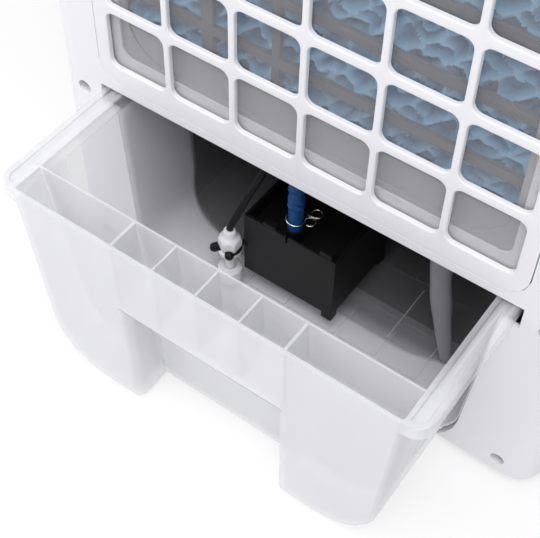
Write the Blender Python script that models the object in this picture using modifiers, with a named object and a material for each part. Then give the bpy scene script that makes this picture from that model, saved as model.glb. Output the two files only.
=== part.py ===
"""Evaporative cooler, seen from behind with its water tank pulled out.

The rear wall faces -Y and the air outlet faces +Y. The origin is on the floor, in the middle of the whole
object's box with the tank pulled out. All sizes are metres.
"""

import math

import bmesh
import bpy
from mathutils import Matrix
from mathutils import Vector

# Driving dimensions
GAP = 0.0003
WALL = 0.003
THIN = 0.0022
HALF_WIDTH = 0.160
DEPTH = 0.300
CORNER = 0.016
FOOT_HEIGHT = 0.006
SHELL_TOP = 0.640
COVER_TOP = 0.660
TANK_OUT = 0.084
TANK_LENGTH = 0.238
TANK_RIM = 0.141
TANK_BOTTOM = 0.0035
TANK_HALF_TOP = 0.1152
TANK_DRAFT = 0.075
TANK_LOWER_RADIUS = 0.038
TANK_FRONT_RADIUS = 0.0035
WINDOW_PITCH = 0.040
WINDOW_COLUMNS = 6
WINDOW_ROWS = 10
WINDOW_HALF_WIDTH = 0.0181
WINDOW_HALF_HEIGHT = 0.0173
WINDOW_RADIUS = 0.0048
LOWEST_WINDOW = 0.178
RIB_PITCH = 0.0254
WHEEL_RADIUS = 0.085
WHEEL_BLADES = 24
FAN_HEIGHT = 0.320
FAN_X = 0.022
LOUVRES = 5
LOUVRE_PITCH = 0.030
LOUVRE_LOWEST = 0.462
VANES = 6
VANE_PITCH = 0.034
BUTTONS = 4
BUTTON_PITCH = 0.036

# Planes worked out from them
Y_REAR = -(DEPTH - TANK_OUT) / 2
Y_SPLIT = Y_REAR + DEPTH / 2
Y_FRONT = Y_REAR + DEPTH
Y_TANK = Y_REAR - TANK_OUT
Y_TANK_BACK = Y_TANK + TANK_LENGTH
GRILLE_LOW = 0.1487
GRILLE_HIGH = LOWEST_WINDOW + (WINDOW_ROWS - 1) * WINDOW_PITCH + 0.0293
GRILLE_HALF = 0.1262
GRILLE_RADIUS = 0.0145
OPENING_TOP = 0.1424
OPENING_BOTTOM = -0.004
OPENING_HALF_TOP = 0.1178
OPENING_HALF_BOTTOM = 0.1085
SLEEVE_DEPTH = 0.033
PARTITION_LEAN = 0.0615
FRONT_LEAN = 0.035
RIB_THICKNESS = 0.0014
Y_PARTITION = Y_TANK + 0.020
FLANGE_HALF = 0.1252
FLANGE_DROP = 0.009
FLANGE_SHELF = 0.0016
FLANGE_UNDER = 0.0038
RECESS_HALF = 0.047
RECESS_TOP = 0.0895
OUTLET_HALF = 0.114
OUTLET_LOW = 0.440
OUTLET_HIGH = 0.604
PUMP_LEFT = -0.049
PUMP_RIGHT = 0.014
PUMP_FRONT = Y_REAR + 0.0226
PUMP_BACK = Y_REAR + 0.0826
PUMP_TOP = 0.069
HOSE_X = -0.0205
HOSE_Y = Y_REAR + 0.033
SENSOR_X = -0.0560
SENSOR_Y = Y_REAR + 0.018

COLOURS = {
    "white_plastic": ((0.83, 0.83, 0.86), 0.38, 0.0),
    "tank_plastic": ((0.80, 0.81, 0.84), 0.30, 0.0),
    "charcoal_plastic": ((0.02, 0.02, 0.024), 0.55, 0.0),
    "black_plastic": ((0.012, 0.012, 0.013), 0.42, 0.0),
    "grey_plastic": ((0.20, 0.19, 0.22), 0.55, 0.0),
    "mesh_grey": ((0.30, 0.30, 0.32), 0.7, 0.0),
    "pad_blue": ((0.17, 0.30, 0.42), 0.85, 0.0),
    "hose_blue": ((0.015, 0.09, 0.30), 0.45, 0.0),
    "hose_grey": ((0.24, 0.24, 0.26), 0.5, 0.0),
    "steel": ((0.62, 0.62, 0.63), 0.25, 1.0),
    "rubber": ((0.02, 0.02, 0.02), 0.8, 0.0),
    "panel_dark": ((0.03, 0.03, 0.035), 0.2, 0.0),
}


def start_scene():
    """Empty the scene and make the two collections."""
    for old in list(bpy.data.objects):
        bpy.data.objects.remove(old, do_unlink=True)
    parts = bpy.data.collections.new("evaporative_cooler")
    cutters = bpy.data.collections.new("cutters")
    for collection in (parts, cutters):
        bpy.context.scene.collection.children.link(collection)
    return parts, cutters


PARTS, CUTTERS = start_scene()


def finish_material(name):
    """Principled material of one finish, made once."""
    found = bpy.data.materials.get(name)
    if found:
        return found
    colour, roughness, metallic = COLOURS[name]
    made = bpy.data.materials.new(name)
    made.use_nodes = True
    shader = made.node_tree.nodes["Principled BSDF"]
    shader.inputs["Base Color"].default_value = (*colour, 1.0)
    shader.inputs["Roughness"].default_value = roughness
    shader.inputs["Metallic"].default_value = metallic
    return made


def part(obj, finish):
    """Put a finished piece in the object's collection."""
    obj.data.materials.clear()
    obj.data.materials.append(finish_material(finish))
    PARTS.objects.link(obj)
    return obj


def guide(obj):
    """Keep a cutter or a shape to be joined, out of the model itself."""
    CUTTERS.objects.link(obj)
    obj.hide_render = True
    obj.display_type = "WIRE"
    return obj


def combine(obj, other, operation):
    """Join or cut one solid with another through a Boolean modifier."""
    guide(other)
    modifier = obj.modifiers.new(operation.lower(), "BOOLEAN")
    modifier.operation = operation
    modifier.object = other
    modifier.solver = "EXACT"
    return obj


def join(obj, other):
    return combine(obj, other, "UNION")


def cut(obj, other):
    return combine(obj, other, "DIFFERENCE")


def evaluated(obj):
    """A plain mesh object with the modifiers of obj worked in."""
    bpy.context.scene.collection.objects.link(obj)
    graph = bpy.context.evaluated_depsgraph_get()
    mesh = bpy.data.meshes.new_from_object(obj.evaluated_get(graph))
    name = obj.name
    bpy.data.objects.remove(obj)
    solid = bmesh.new()
    solid.from_mesh(mesh)
    bmesh.ops.remove_doubles(solid, verts=solid.verts, dist=1e-6)
    bmesh.ops.recalc_face_normals(solid, faces=solid.faces)
    solid.to_mesh(mesh)
    solid.free()
    return bpy.data.objects.new(name, mesh)


def smooth(obj, angle=40):
    """Shade round pieces smooth up to an angle in degrees."""
    obj.data.shade_smooth()
    obj.data.set_sharp_from_angle(angle=math.radians(angle))
    return obj


def rounded(corners, segments=3):
    """Closed outline through (u, v, radius) corners, with an arc at each corner that has a radius."""
    points = []
    count = len(corners)
    for index, (u, v, radius) in enumerate(corners):
        here = Vector((u, v))
        if radius == 0:
            points.append((u, v))
            continue
        before = (Vector(corners[index - 1][:2]) - here).normalized()
        after = (Vector(corners[(index + 1) % count][:2]) - here).normalized()
        half = before.angle(after) / 2
        reach = radius / math.tan(half)
        centre = here + (before + after).normalized() * radius / math.sin(half)
        first = here + before * reach - centre
        last = here + after * reach - centre
        start = math.atan2(first.y, first.x)
        sweep = math.atan2(last.y, last.x) - start
        sweep = (sweep + math.pi) % (2 * math.pi) - math.pi
        for step in range(segments + 1):
            angle = start + sweep * step / segments
            points.append((centre.x + radius * math.cos(angle), centre.y + radius * math.sin(angle)))
    return points


def rectangle(u_low, u_high, v_low, v_high, radius=0.0, segments=3):
    """Rectangle outline with equal corner radii."""
    corners = [
        (u_low, v_low, radius),
        (u_high, v_low, radius),
        (u_high, v_high, radius),
        (u_low, v_high, radius),
    ]
    return rounded(corners, segments)


def circle(u, v, radius, sides=24):
    """Round outline."""
    points = []
    for step in range(sides):
        angle = 2 * math.pi * step / sides
        points.append((u + radius * math.cos(angle), v + radius * math.sin(angle)))
    return points


PLANES = {
    "XY": Matrix.Identity(4),
    "XZ": Matrix.Rotation(math.pi / 2, 4, "X"),
    "YZ": Matrix(((0, 0, 1, 0), (1, 0, 0, 0), (0, 1, 0, 0), (0, 0, 0, 1))),
}
NORMALS = {"XY": Vector((0, 0, 1)), "XZ": Vector((0, 1, 0)), "YZ": Vector((1, 0, 0))}


def plate(name, loops, low, high, plane="XZ"):
    """Flat outline, with holes where there are more loops, extruded from low to high across its plane."""
    curve = bpy.data.curves.new(name, "CURVE")
    curve.dimensions = "2D"
    curve.fill_mode = "BOTH"
    curve.extrude = (high - low) / 2
    for loop in loops:
        spline = curve.splines.new("POLY")
        spline.points.add(len(loop) - 1)
        for point, (u, v) in zip(spline.points, loop):
            point.co = (u, v, 0, 1)
        spline.use_cyclic_u = True
    obj = evaluated(bpy.data.objects.new(name, curve))
    shift = Matrix.Translation(NORMALS[plane] * (low + high) / 2)
    obj.data.transform(shift @ PLANES[plane])
    return obj


def block(name, low, high):
    """Box between two corners."""
    low = Vector(low)
    high = Vector(high)
    solid = bmesh.new()
    bmesh.ops.create_cube(solid, size=1.0)
    size = Matrix.Diagonal((*(high - low), 1.0))
    bmesh.ops.transform(solid, matrix=Matrix.Translation((low + high) / 2) @ size, verts=solid.verts)
    mesh = bpy.data.meshes.new(name)
    solid.to_mesh(mesh)
    solid.free()
    return bpy.data.objects.new(name, mesh)


def turned(name, profile, closed, steps=24, place=None):
    """Profile of (radius, height) points, top to bottom on the outer side, turned about Z by a Screw modifier."""
    mesh = bpy.data.meshes.new(name)
    points = [(radius, 0, height) for radius, height in profile]
    edges = [(index, index + 1) for index in range(len(points) - 1)]
    if closed:
        edges.append((len(points) - 1, 0))
    mesh.from_pydata(points, edges, [])
    obj = bpy.data.objects.new(name, mesh)
    screw = obj.modifiers.new("turn", "SCREW")
    screw.steps = steps
    screw.render_steps = steps
    screw.use_merge_vertices = True
    screw.merge_threshold = 0.00001
    obj = evaluated(obj)
    if place:
        obj.data.transform(place)
    return smooth(obj)


def tube(name, points, radius, resolution=2):
    """Round tube along points."""
    curve = bpy.data.curves.new(name, "CURVE")
    curve.dimensions = "3D"
    curve.bevel_depth = radius
    curve.bevel_resolution = resolution
    curve.use_fill_caps = True
    spline = curve.splines.new("POLY")
    spline.points.add(len(points) - 1)
    for point, place in zip(spline.points, points):
        point.co = (*place, 1)
    return smooth(evaluated(bpy.data.objects.new(name, curve)), 60)


def smooth_route(points, steps=5):
    """Points of a Catmull-Rom curve through a route."""
    padded = [points[0], *points, points[-1]]
    route = []
    for index in range(len(points) - 1):
        a, b, c, d = (Vector(p) for p in padded[index:index + 4])
        for step in range(steps):
            t = step / steps
            route.append(0.5 * (2 * b + (c - a) * t + (2 * a - 5 * b + 4 * c - d) * t ** 2
                                + (3 * b - a - 3 * c + d) * t ** 3))
    route.append(Vector(points[-1]))
    return route


def merged(name, pieces):
    """Several apart solids as one mesh, for a group of like pieces or a cutter."""
    solid = bmesh.new()
    for piece in pieces:
        solid.from_mesh(piece.data)
        bpy.data.objects.remove(piece)
    mesh = bpy.data.meshes.new(name)
    solid.to_mesh(mesh)
    solid.free()
    return bpy.data.objects.new(name, mesh)


def along_y(x, y, z):
    """Turn a shape made about Z so that its axis runs along +Y through a point."""
    return Matrix.Translation((x, y, z)) @ Matrix.Rotation(-math.pi / 2, 4, "X")


def disc(name, radius, length, place, steps=16):
    """Plain cylinder standing on its place."""
    return turned(name, [(0, length), (radius, length), (radius, 0), (0, 0)], False, steps, place)


def shell_outline(y_wall, y_open, wall):
    """U-shaped plan outline of half a housing, closed at y_wall and open at y_open."""
    inward = 1 if y_open > y_wall else -1
    outer = [
        (-HALF_WIDTH, y_open, 0),
        (-HALF_WIDTH, y_wall, CORNER),
        (HALF_WIDTH, y_wall, CORNER),
        (HALF_WIDTH, y_open, 0),
    ]
    inner = [
        (HALF_WIDTH - wall, y_open, 0),
        (HALF_WIDTH - wall, y_wall + inward * wall, CORNER - wall),
        (-HALF_WIDTH + wall, y_wall + inward * wall, CORNER - wall),
        (-HALF_WIDTH + wall, y_open, 0),
    ]
    return rounded(outer + inner, 5)


def tank_opening(grow):
    """XZ outline of the tank's opening: drafted sides, open below, and a notch each side for the flange."""
    notch_half = FLANGE_HALF + 0.0023 + grow
    notch_low = TANK_RIM - FLANGE_DROP - 0.004 - grow
    half_top = OPENING_HALF_TOP + grow
    half_bottom = OPENING_HALF_BOTTOM + grow
    bottom = OPENING_BOTTOM - grow
    right = [
        (half_bottom, bottom, 0.034),
        (half_top, notch_low, 0),
        (notch_half, notch_low, 0),
        (notch_half, OPENING_TOP, 0),
    ]
    left = [(-u, v, radius) for u, v, radius in reversed(right)]
    return rounded(right + left, 6)


SCREW_PLACES = [
    (side * across, height)
    for side in (-1, 1)
    for across, height in ((0.1375, 0.0155), (0.1405, 0.133), (0.1405, 0.380), (0.1405, 0.612))
]


def rear_shell():
    """Rear half of the housing, with the grille's opening and seat, the tank's opening and its sleeve."""
    shell = plate("rear_shell", [shell_outline(Y_REAR, Y_SPLIT, WALL)], FOOT_HEIGHT, SHELL_TOP, "XY")
    seat_half = GRILLE_HALF + 0.004
    lip_half = GRILLE_HALF - 0.0034
    seat_outer = rectangle(-seat_half, seat_half, GRILLE_LOW - 0.0045, GRILLE_HIGH + 0.005, GRILLE_RADIUS)
    seat_inner = rectangle(-lip_half, lip_half, GRILLE_LOW + 0.0035, GRILLE_HIGH - 0.0035, GRILLE_RADIUS)
    grille_hole = rectangle(
        -GRILLE_HALF - 0.0005, GRILLE_HALF + 0.0005, GRILLE_LOW - 0.0005, GRILLE_HIGH + 0.0005, GRILLE_RADIUS
    )
    cut(shell, plate("grille_hole", [grille_hole], Y_REAR - 0.01, Y_REAR + 0.01))
    join(shell, plate("grille_seat", [seat_outer, seat_inner], Y_REAR + WALL - 0.0004, Y_REAR + 0.005))
    cut(shell, plate("tank_hole", [tank_opening(0)], Y_REAR - 0.01, Y_REAR + 0.01))
    sleeve = plate("sleeve", [tank_opening(0.0024)], Y_REAR + WALL - 0.0005, Y_REAR + SLEEVE_DEPTH)
    cut(sleeve, plate("sleeve_bore", [tank_opening(0.0002)], Y_REAR - 0.01, Y_REAR + 0.05))
    sleeve_roof = OPENING_TOP - 0.0185
    cut(sleeve, block("sleeve_top", (-0.2, Y_REAR - 0.01, sleeve_roof), (0.2, Y_REAR + 0.05, 0.2)))
    cut(sleeve, block("sleeve_foot", (-0.2, Y_REAR - 0.01, -0.1), (0.2, Y_REAR + 0.05, FOOT_HEIGHT + 0.001)))
    join(shell, sleeve)
    bosses = [
        disc("boss", 0.0065, 0.0135, along_y(x, Y_REAR + WALL - 0.0005, z), 12) for x, z in SCREW_PLACES
    ]
    join(shell, merged("bosses", bosses))
    wells = [disc("well", 0.0042, 0.022, along_y(x, Y_REAR - 0.010, z), 12) for x, z in SCREW_PLACES]
    cut(shell, merged("wells", wells))
    part(shell, "white_plastic")
    for index, (x, z) in enumerate(SCREW_PLACES):
        screw = disc(f"case_screw_{index + 1}", 0.0034, 0.0040, along_y(0, 0, 0), 10)
        screw.location = (x, Y_REAR + 0.0077, z)
        part(screw, "steel")


def front_shell():
    """Front half of the housing, with the air outlet."""
    shell = plate("front_shell", [shell_outline(Y_FRONT, Y_SPLIT + GAP, WALL)], FOOT_HEIGHT, SHELL_TOP, "XY")
    outlet = rectangle(-OUTLET_HALF, OUTLET_HALF, OUTLET_LOW, OUTLET_HIGH, 0.010)
    cut(shell, plate("outlet_hole", [outlet], Y_FRONT - 0.01, Y_FRONT + 0.01))
    part(shell, "white_plastic")


def top_cover():
    """Lid with rounded edges, hollow below at the back, with a stepped well for the control panel."""
    outline = rectangle(-HALF_WIDTH, HALF_WIDTH, Y_REAR, Y_FRONT, CORNER, 5)
    cover = plate("top_cover", [outline], SHELL_TOP + GAP, COVER_TOP, "XY")
    solid = bmesh.new()
    solid.from_mesh(cover.data)
    bmesh.ops.dissolve_limit(solid, angle_limit=0.001, verts=solid.verts, edges=solid.edges)
    rim = [e for e in solid.edges if all(v.co.z > COVER_TOP - 1e-5 for v in e.verts)]
    bmesh.ops.bevel(solid, geom=rim, offset=0.007, segments=3, profile=0.5, affect="EDGES")
    solid.to_mesh(cover.data)
    solid.free()
    hollow = rectangle(-HALF_WIDTH + 0.008, HALF_WIDTH - 0.008, Y_REAR + 0.008, Y_FRONT - 0.095, 0.010)
    cut(cover, plate("cover_hollow", [hollow], SHELL_TOP - 0.01, COVER_TOP - 0.004, "XY"))
    pocket = rectangle(-0.090, 0.090, Y_FRONT - 0.075, Y_FRONT - 0.025, 0.010)
    cut(cover, plate("panel_pocket", [pocket], COVER_TOP - 0.0027, COVER_TOP + 0.01, "XY"))
    well = rectangle(-0.080, 0.080, Y_FRONT - 0.067, Y_FRONT - 0.033, 0.006)
    cut(cover, plate("panel_well", [well], COVER_TOP - 0.010, COVER_TOP + 0.01, "XY"))
    part(smooth(cover), "white_plastic")


def controls():
    """Control panel in the lid, and its push buttons, each turned and free to travel down."""
    y_row = Y_FRONT - 0.050
    places = [(index - (BUTTONS - 1) / 2) * BUTTON_PITCH for index in range(BUTTONS)]
    outline = rectangle(-0.0897, 0.0897, Y_FRONT - 0.0747, Y_FRONT - 0.0253, 0.0097)
    holes = [circle(x, y_row, 0.0093, 20) for x in places]
    low = COVER_TOP - 0.0027 + GAP
    panel = plate("control_panel", [outline, *holes], low, COVER_TOP - 0.0003, "XY")
    part(panel, "panel_dark")
    top = COVER_TOP + 0.0018
    profile = [(0, top), (0.0070, top), (0.0088, top - 0.0014), (0.0088, COVER_TOP - 0.0064), (0, COVER_TOP - 0.0064)]
    for index, x in enumerate(places):
        button = turned(f"button_{index + 1}", profile, False, 20)
        button.location = (x, y_row, 0)
        part(button, "white_plastic")


def base_pan():
    """Dark floor of the housing with a sunk bay for the tank: rails that carry its flanges, a thin floor and an end wall."""
    low = FOOT_HEIGHT + 0.0006
    floor_top = low + 0.0031
    back = Y_REAR + SLEEVE_DEPTH + 0.0006
    end = Y_REAR + 0.262
    bay_low = 0.0010
    outline = rectangle(-HALF_WIDTH + WALL + 0.0005, HALF_WIDTH - WALL - 0.0005, back, Y_FRONT - WALL - 0.0005, 0.012)
    pan = plate("base_pan", [outline], low, floor_top, "XY")
    cut(pan, block("tank_bay", (-0.1185, back - 0.02, low - 0.01), (0.1185, end, floor_top + 0.01)))
    rail_top = TANK_RIM - FLANGE_UNDER - 0.0005
    rails = [
        block("rail_left", (-0.1215, back + 0.001, bay_low), (-0.1185, end + 0.003, rail_top)),
        block("rail_right", (0.1185, back + 0.001, bay_low), (0.1215, end + 0.003, rail_top)),
    ]
    join(pan, merged("rails", rails))
    join(pan, block("bay_floor", (-0.120, back + 0.0012, bay_low + 0.0001), (0.120, end + 0.0020, bay_low + 0.0014)))
    join(pan, block("end_wall", (-0.120, end, bay_low + 0.0004), (0.120, end + 0.0025, rail_top - 0.002)))
    part(pan, "charcoal_plastic")


def feet():
    """Four turned rubber feet under the base."""
    profile = [(0, 0.0063), (0.0130, 0.0063), (0.0115, 0.0), (0, 0.0)]
    number = 0
    for x in (-0.136, 0.136):
        for y in (Y_REAR + 0.055, Y_FRONT - 0.030):
            number += 1
            foot = turned(f"foot_{number}", profile, False, 20)
            foot.location = (x, y, 0)
            part(foot, "rubber")


def rear_grille():
    """Removable rear grille, a lattice of round-cornered square windows, and the fine net behind it."""
    loops = [rectangle(-GRILLE_HALF, GRILLE_HALF, GRILLE_LOW, GRILLE_HIGH, GRILLE_RADIUS - 0.0005)]
    for row in range(WINDOW_ROWS):
        for column in range(WINDOW_COLUMNS):
            x = (column - (WINDOW_COLUMNS - 1) / 2) * WINDOW_PITCH
            z = LOWEST_WINDOW + row * WINDOW_PITCH
            loops.append(
                rectangle(
                    x - WINDOW_HALF_WIDTH, x + WINDOW_HALF_WIDTH, z - WINDOW_HALF_HEIGHT, z + WINDOW_HALF_HEIGHT,
                    WINDOW_RADIUS, 2
                )
            )
    part(plate("rear_grille", loops, Y_REAR, Y_REAR + WALL - 0.0004), "white_plastic")
    net_half = GRILLE_HALF - 0.0040
    net = rectangle(-net_half, net_half, GRILLE_LOW + 0.0041, GRILLE_HIGH - 0.0041, GRILLE_RADIUS - 0.001)
    part(plate("mesh_filter", [net], Y_REAR + WALL, Y_REAR + WALL + 0.0008), "mesh_grey")


def cooling_pad():
    """Pad frame with its front lattice, the pad in it, the drip tray below and the distributor above."""
    half = 0.118
    low = 0.163
    high = 0.5575
    inner_half = 0.112
    inner_low = 0.184
    inner_high = 0.551
    y_face = Y_REAR + 0.008
    y_pocket = y_face + 0.0026
    y_back = Y_REAR + 0.0240
    outer = rectangle(-half, half, low, high, 0.004)
    bars = [outer]
    rows = 11
    bar = 0.0055
    posts = [(-0.060, 0.007), (-0.020, 0.0045)]
    first_bar = 0.208
    row_pitch = 0.0352
    heights = [inner_low, *[first_bar + row * row_pitch for row in range(rows - 1)], inner_high]
    halves = [0, *[bar / 2] * (rows - 1), 0]
    for row in range(rows):
        z_low = heights[row] + halves[row]
        z_high = heights[row + 1] - halves[row + 1]
        x_low = -inner_half
        for x, width in [*posts, (inner_half, 0)]:
            bars.append(rectangle(x_low, x - width / 2, z_low, z_high))
            x_low = x + width / 2
    frame = plate("pad_frame", [outer, rectangle(-inner_half, inner_half, inner_low, inner_high)], y_pocket - 0.0002, y_back)
    join(frame, plate("pad_bars", bars, y_face, y_pocket))
    part(frame, "grey_plastic")
    pad_low = (-inner_half + GAP, y_pocket + GAP, inner_low + GAP)
    pad_high = (inner_half - GAP, y_back - GAP, inner_high - GAP)
    part(block("cooling_pad", pad_low, pad_high), "pad_blue")

    tray = block("drip_tray", (-0.119, Y_REAR + 0.0053, 0.150), (0.119, Y_REAR + 0.027, low - GAP))
    cut(tray, block("tray_well", (-0.110, Y_REAR + 0.012, 0.1525), (0.110, Y_REAR + 0.0235, 0.170)))
    join(tray, block("tray_spout", (0.068, Y_REAR + 0.0265, 0.150), (0.088, Y_REAR + 0.046, 0.160)))
    part(tray, "white_plastic")

    distributor = block("water_distributor", (-0.112, Y_REAR + 0.0085, 0.5585), (0.112, Y_REAR + 0.0240, 0.5720))
    cut(distributor, block("trough", (-0.1095, Y_REAR + 0.011, 0.5610), (0.1095, Y_REAR + 0.0215, 0.580)))
    holes = [
        block("hole", (x - 0.0015, Y_REAR + 0.0145, 0.55), (x + 0.0015, Y_REAR + 0.0175, 0.57))
        for x in [(index - 5.5) * 0.018 for index in range(12)]
    ]
    cut(distributor, merged("drip_holes", holes))
    part(distributor, "white_plastic")


def tank_half(height, inset=0.0):
    """Half width of the tank's drafted side at a height."""
    return TANK_HALF_TOP - inset - (TANK_RIM - height) * TANK_DRAFT


def tank_section(inset, top):
    """XZ outline of the tank: drafted sides and large round lower corners."""
    bottom = TANK_BOTTOM + inset
    radius = TANK_LOWER_RADIUS - inset
    corners = [
        (-tank_half(top, inset), top, 0),
        (-tank_half(bottom, inset), bottom, radius),
        (tank_half(bottom, inset), bottom, radius),
        (tank_half(top, inset), top, 0),
    ]
    return rounded(corners, 7)


def pocket_section(side, x_inner, top):
    """XZ outline of the tank's pocket at one end of the trough."""
    bottom = TANK_BOTTOM + THIN
    corners = [
        (side * x_inner, top, 0),
        (side * x_inner, bottom, 0),
        (side * tank_half(bottom, THIN), bottom, TANK_LOWER_RADIUS - THIN),
        (side * tank_half(top, THIN), top, 0),
    ]
    return rounded(corners, 7)


def round_front(obj, y, radius, top, x_inner=None):
    """Round the edges of a shape's front face, except along its top and along an inner wall."""
    solid = bmesh.new()
    solid.from_mesh(obj.data)
    bmesh.ops.dissolve_limit(solid, angle_limit=0.001, verts=solid.verts, edges=solid.edges)
    chosen = []
    for edge in solid.edges:
        points = [v.co for v in edge.verts]
        if any(abs(p.y - y) > 1e-5 for p in points):
            continue
        if all(abs(p.z - top) < 1e-5 for p in points):
            continue
        if x_inner is not None and all(abs(abs(p.x) - x_inner) < 1e-5 for p in points):
            continue
        chosen.append(edge)
    bmesh.ops.bevel(solid, geom=chosen, offset=radius, segments=3, profile=0.5, affect="EDGES")
    solid.to_mesh(obj.data)
    solid.free()
    return obj


def lean_front(obj):
    """Lean the front of a shape with the tank's front wall, towards the back as it goes down."""
    for vertex in obj.data.vertices:
        if vertex.co.y < Y_TANK + 0.012:
            vertex.co.y += (TANK_RIM - vertex.co.z) * FRONT_LEAN
    return obj


def lean(obj, y):
    """Lean one end face of a cutter with the tank's inner partition, towards the back as it goes down."""
    for vertex in obj.data.vertices:
        if abs(vertex.co.y - y) < 1e-5:
            vertex.co.y += (TANK_RIM - vertex.co.z) * PARTITION_LEAN
    return obj


def flange_outline(side, inner, inset, radius):
    """Plan outline of one side flange, round at its front corner."""
    front = Y_TANK + 0.0006 + inset
    outer = FLANGE_HALF - inset
    corners = [
        (side * inner, front, 0),
        (side * outer, front, radius),
        (side * outer, Y_TANK_BACK, 0),
        (side * inner, Y_TANK_BACK, 0),
    ]
    return rounded(corners, 6)


def water_tank():
    """Pull-out tank: drafted tub, trough with ribs behind the front wall, side flanges, finger recess, floor ribs."""
    above = TANK_RIM + 0.010
    tank = plate("water_tank", [tank_section(0.0, TANK_RIM)], Y_TANK, Y_TANK_BACK)
    lean_front(round_front(tank, Y_TANK, TANK_FRONT_RADIUS, TANK_RIM))
    for side in (-1, 1):
        outer = flange_outline(side, 0.1065, 0.0, 0.0095)
        flange = plate("flange", [outer], TANK_RIM - FLANGE_DROP, TANK_RIM, "XY")
        hollow = flange_outline(side, 0.1172, THIN, 0.0052)
        cut(flange, plate("flange_under", [hollow], TANK_RIM - 0.02, TANK_RIM - FLANGE_UNDER, "XY"))
        groove = flange_outline(side, TANK_HALF_TOP + 0.0004, 0.0034, 0.0055)
        cut(flange, plate("flange_groove", [groove], TANK_RIM - FLANGE_SHELF, above, "XY"))
        join(tank, flange)

    y_chamber = Y_PARTITION + RIB_THICKNESS
    chamber = plate("chamber", [tank_section(THIN, above)], y_chamber, Y_TANK_BACK - THIN)
    cut(tank, lean(chamber, y_chamber))
    pocket_inner = 2 * RIB_PITCH + THIN / 2
    for side in (-1, 1):
        pocket = plate("pocket", [pocket_section(side, pocket_inner, above)], Y_TANK + THIN, Y_PARTITION)
        round_front(pocket, Y_TANK + THIN, TANK_FRONT_RADIUS - THIN, above, pocket_inner)
        cut(tank, lean(lean_front(pocket), Y_PARTITION))
    for index in range(-2, 2):
        low = index * RIB_PITCH + RIB_THICKNESS / 2
        bay = plate(
            "trough_bay",
            [rectangle(low, low + RIB_PITCH - RIB_THICKNESS, RECESS_TOP + THIN, above)],
            Y_TANK + THIN,
            Y_PARTITION,
        )
        cut(tank, lean(lean_front(bay), Y_PARTITION))
    fillet = 0.006
    side_plan = [
        (RECESS_HALF + fillet - fillet * math.cos(turn), Y_TANK + fillet - fillet * math.sin(turn))
        for turn in [math.pi / 2 * step / 5 for step in range(6)]
    ]
    plan = [(RECESS_HALF, Y_PARTITION), *side_plan, (side_plan[-1][0], Y_TANK - 0.01)]
    plan = [*plan, *[(-x, y) for x, y in reversed(plan)]]
    recess = plate("finger_recess", [plan], TANK_BOTTOM - 0.01, RECESS_TOP, "XY")
    cut(tank, lean(lean_front(recess), Y_PARTITION))

    rib_x = [-0.074, -0.046, -0.018, 0.018, 0.046, 0.074]
    rib_y = [Y_REAR + 0.021, Y_REAR + 0.053, Y_REAR + 0.085, Y_REAR + 0.117]
    rib = 0.0016
    loops = [rectangle(rib_x[0], rib_x[-1], rib_y[0], rib_y[-1])]
    for x_low, x_high in zip(rib_x, rib_x[1:]):
        for y_low, y_high in zip(rib_y, rib_y[1:]):
            loops.append(rectangle(x_low + rib, x_high - rib / 2, y_low + rib, y_high - rib / 2))
    floor = TANK_BOTTOM + THIN
    join(tank, plate("floor_ribs", loops, floor - 0.0005, floor + 0.002, "XY"))
    part(tank, "tank_plastic")


def pump():
    """Pump in its open-topped box, hung from a cross bar, with the outlet spigot that takes the hose."""
    box_low = 0.021
    floor = TANK_BOTTOM + THIN
    foot_low = 0.0162
    wall = 0.002
    box = block("pump_housing", (PUMP_LEFT, PUMP_FRONT, box_low), (PUMP_RIGHT, PUMP_BACK, PUMP_TOP))
    cut(
        box,
        block(
            "pump_inside",
            (PUMP_LEFT + wall, PUMP_FRONT + wall, box_low + wall),
            (PUMP_RIGHT - wall, PUMP_BACK - wall, PUMP_TOP + 0.01),
        ),
    )
    corners = [
        (PUMP_RIGHT - 0.007, PUMP_FRONT),
        (PUMP_RIGHT - 0.007, PUMP_BACK - 0.007),
        (PUMP_LEFT, PUMP_BACK - 0.007),
    ]
    legs = [block("leg", (x, y, foot_low), (x + 0.007, y + 0.007, box_low + 0.001)) for x, y in corners]
    join(box, merged("pump_legs", legs))
    cut(box, block("slit", (-0.0199, PUMP_FRONT - 0.01, PUMP_TOP - 0.005), (-0.0187, PUMP_FRONT + 0.01, PUMP_TOP + 0.01)))
    ledge = block("ledge", (-0.0361, PUMP_FRONT + 0.0008, PUMP_TOP - 0.003), (-0.0276, PUMP_FRONT + 0.0050, PUMP_TOP + 0.0008))
    tab = block("clip_tab", (0.0025, PUMP_FRONT + 0.0008, PUMP_TOP - 0.006), (0.0105, PUMP_FRONT + 0.0040, PUMP_TOP + 0.0034))
    join(box, merged("rim_tabs", [ledge, tab]))
    part(box, "black_plastic")

    core_top = PUMP_TOP - 0.010
    core = block(
        "pump_motor",
        (PUMP_LEFT + wall + GAP, PUMP_FRONT + wall + GAP, box_low + wall + GAP),
        (PUMP_RIGHT - wall - GAP, PUMP_BACK - wall - GAP, core_top),
    )
    boss = disc("spigot_boss", 0.0056, 0.0112, Matrix.Translation((HOSE_X, HOSE_Y, core_top - 0.002)), 18)
    join(core, boss)
    spigot = disc("spigot", 0.0026, 0.020, Matrix.Translation((HOSE_X, HOSE_Y, core_top)), 14)
    join(core, spigot)
    part(core, "black_plastic")

    bar_low = TANK_RIM + 0.003
    reach = HALF_WIDTH - WALL - GAP
    bar = block("pump_hanger", (-reach, Y_REAR + 0.062, bar_low), (reach, Y_REAR + 0.080, bar_low + 0.004))
    join(bar, block("post", (-0.030, Y_REAR + 0.068, core_top + GAP), (-0.006, Y_REAR + 0.078, bar_low + 0.001)))
    part(bar, "black_plastic")


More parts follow.
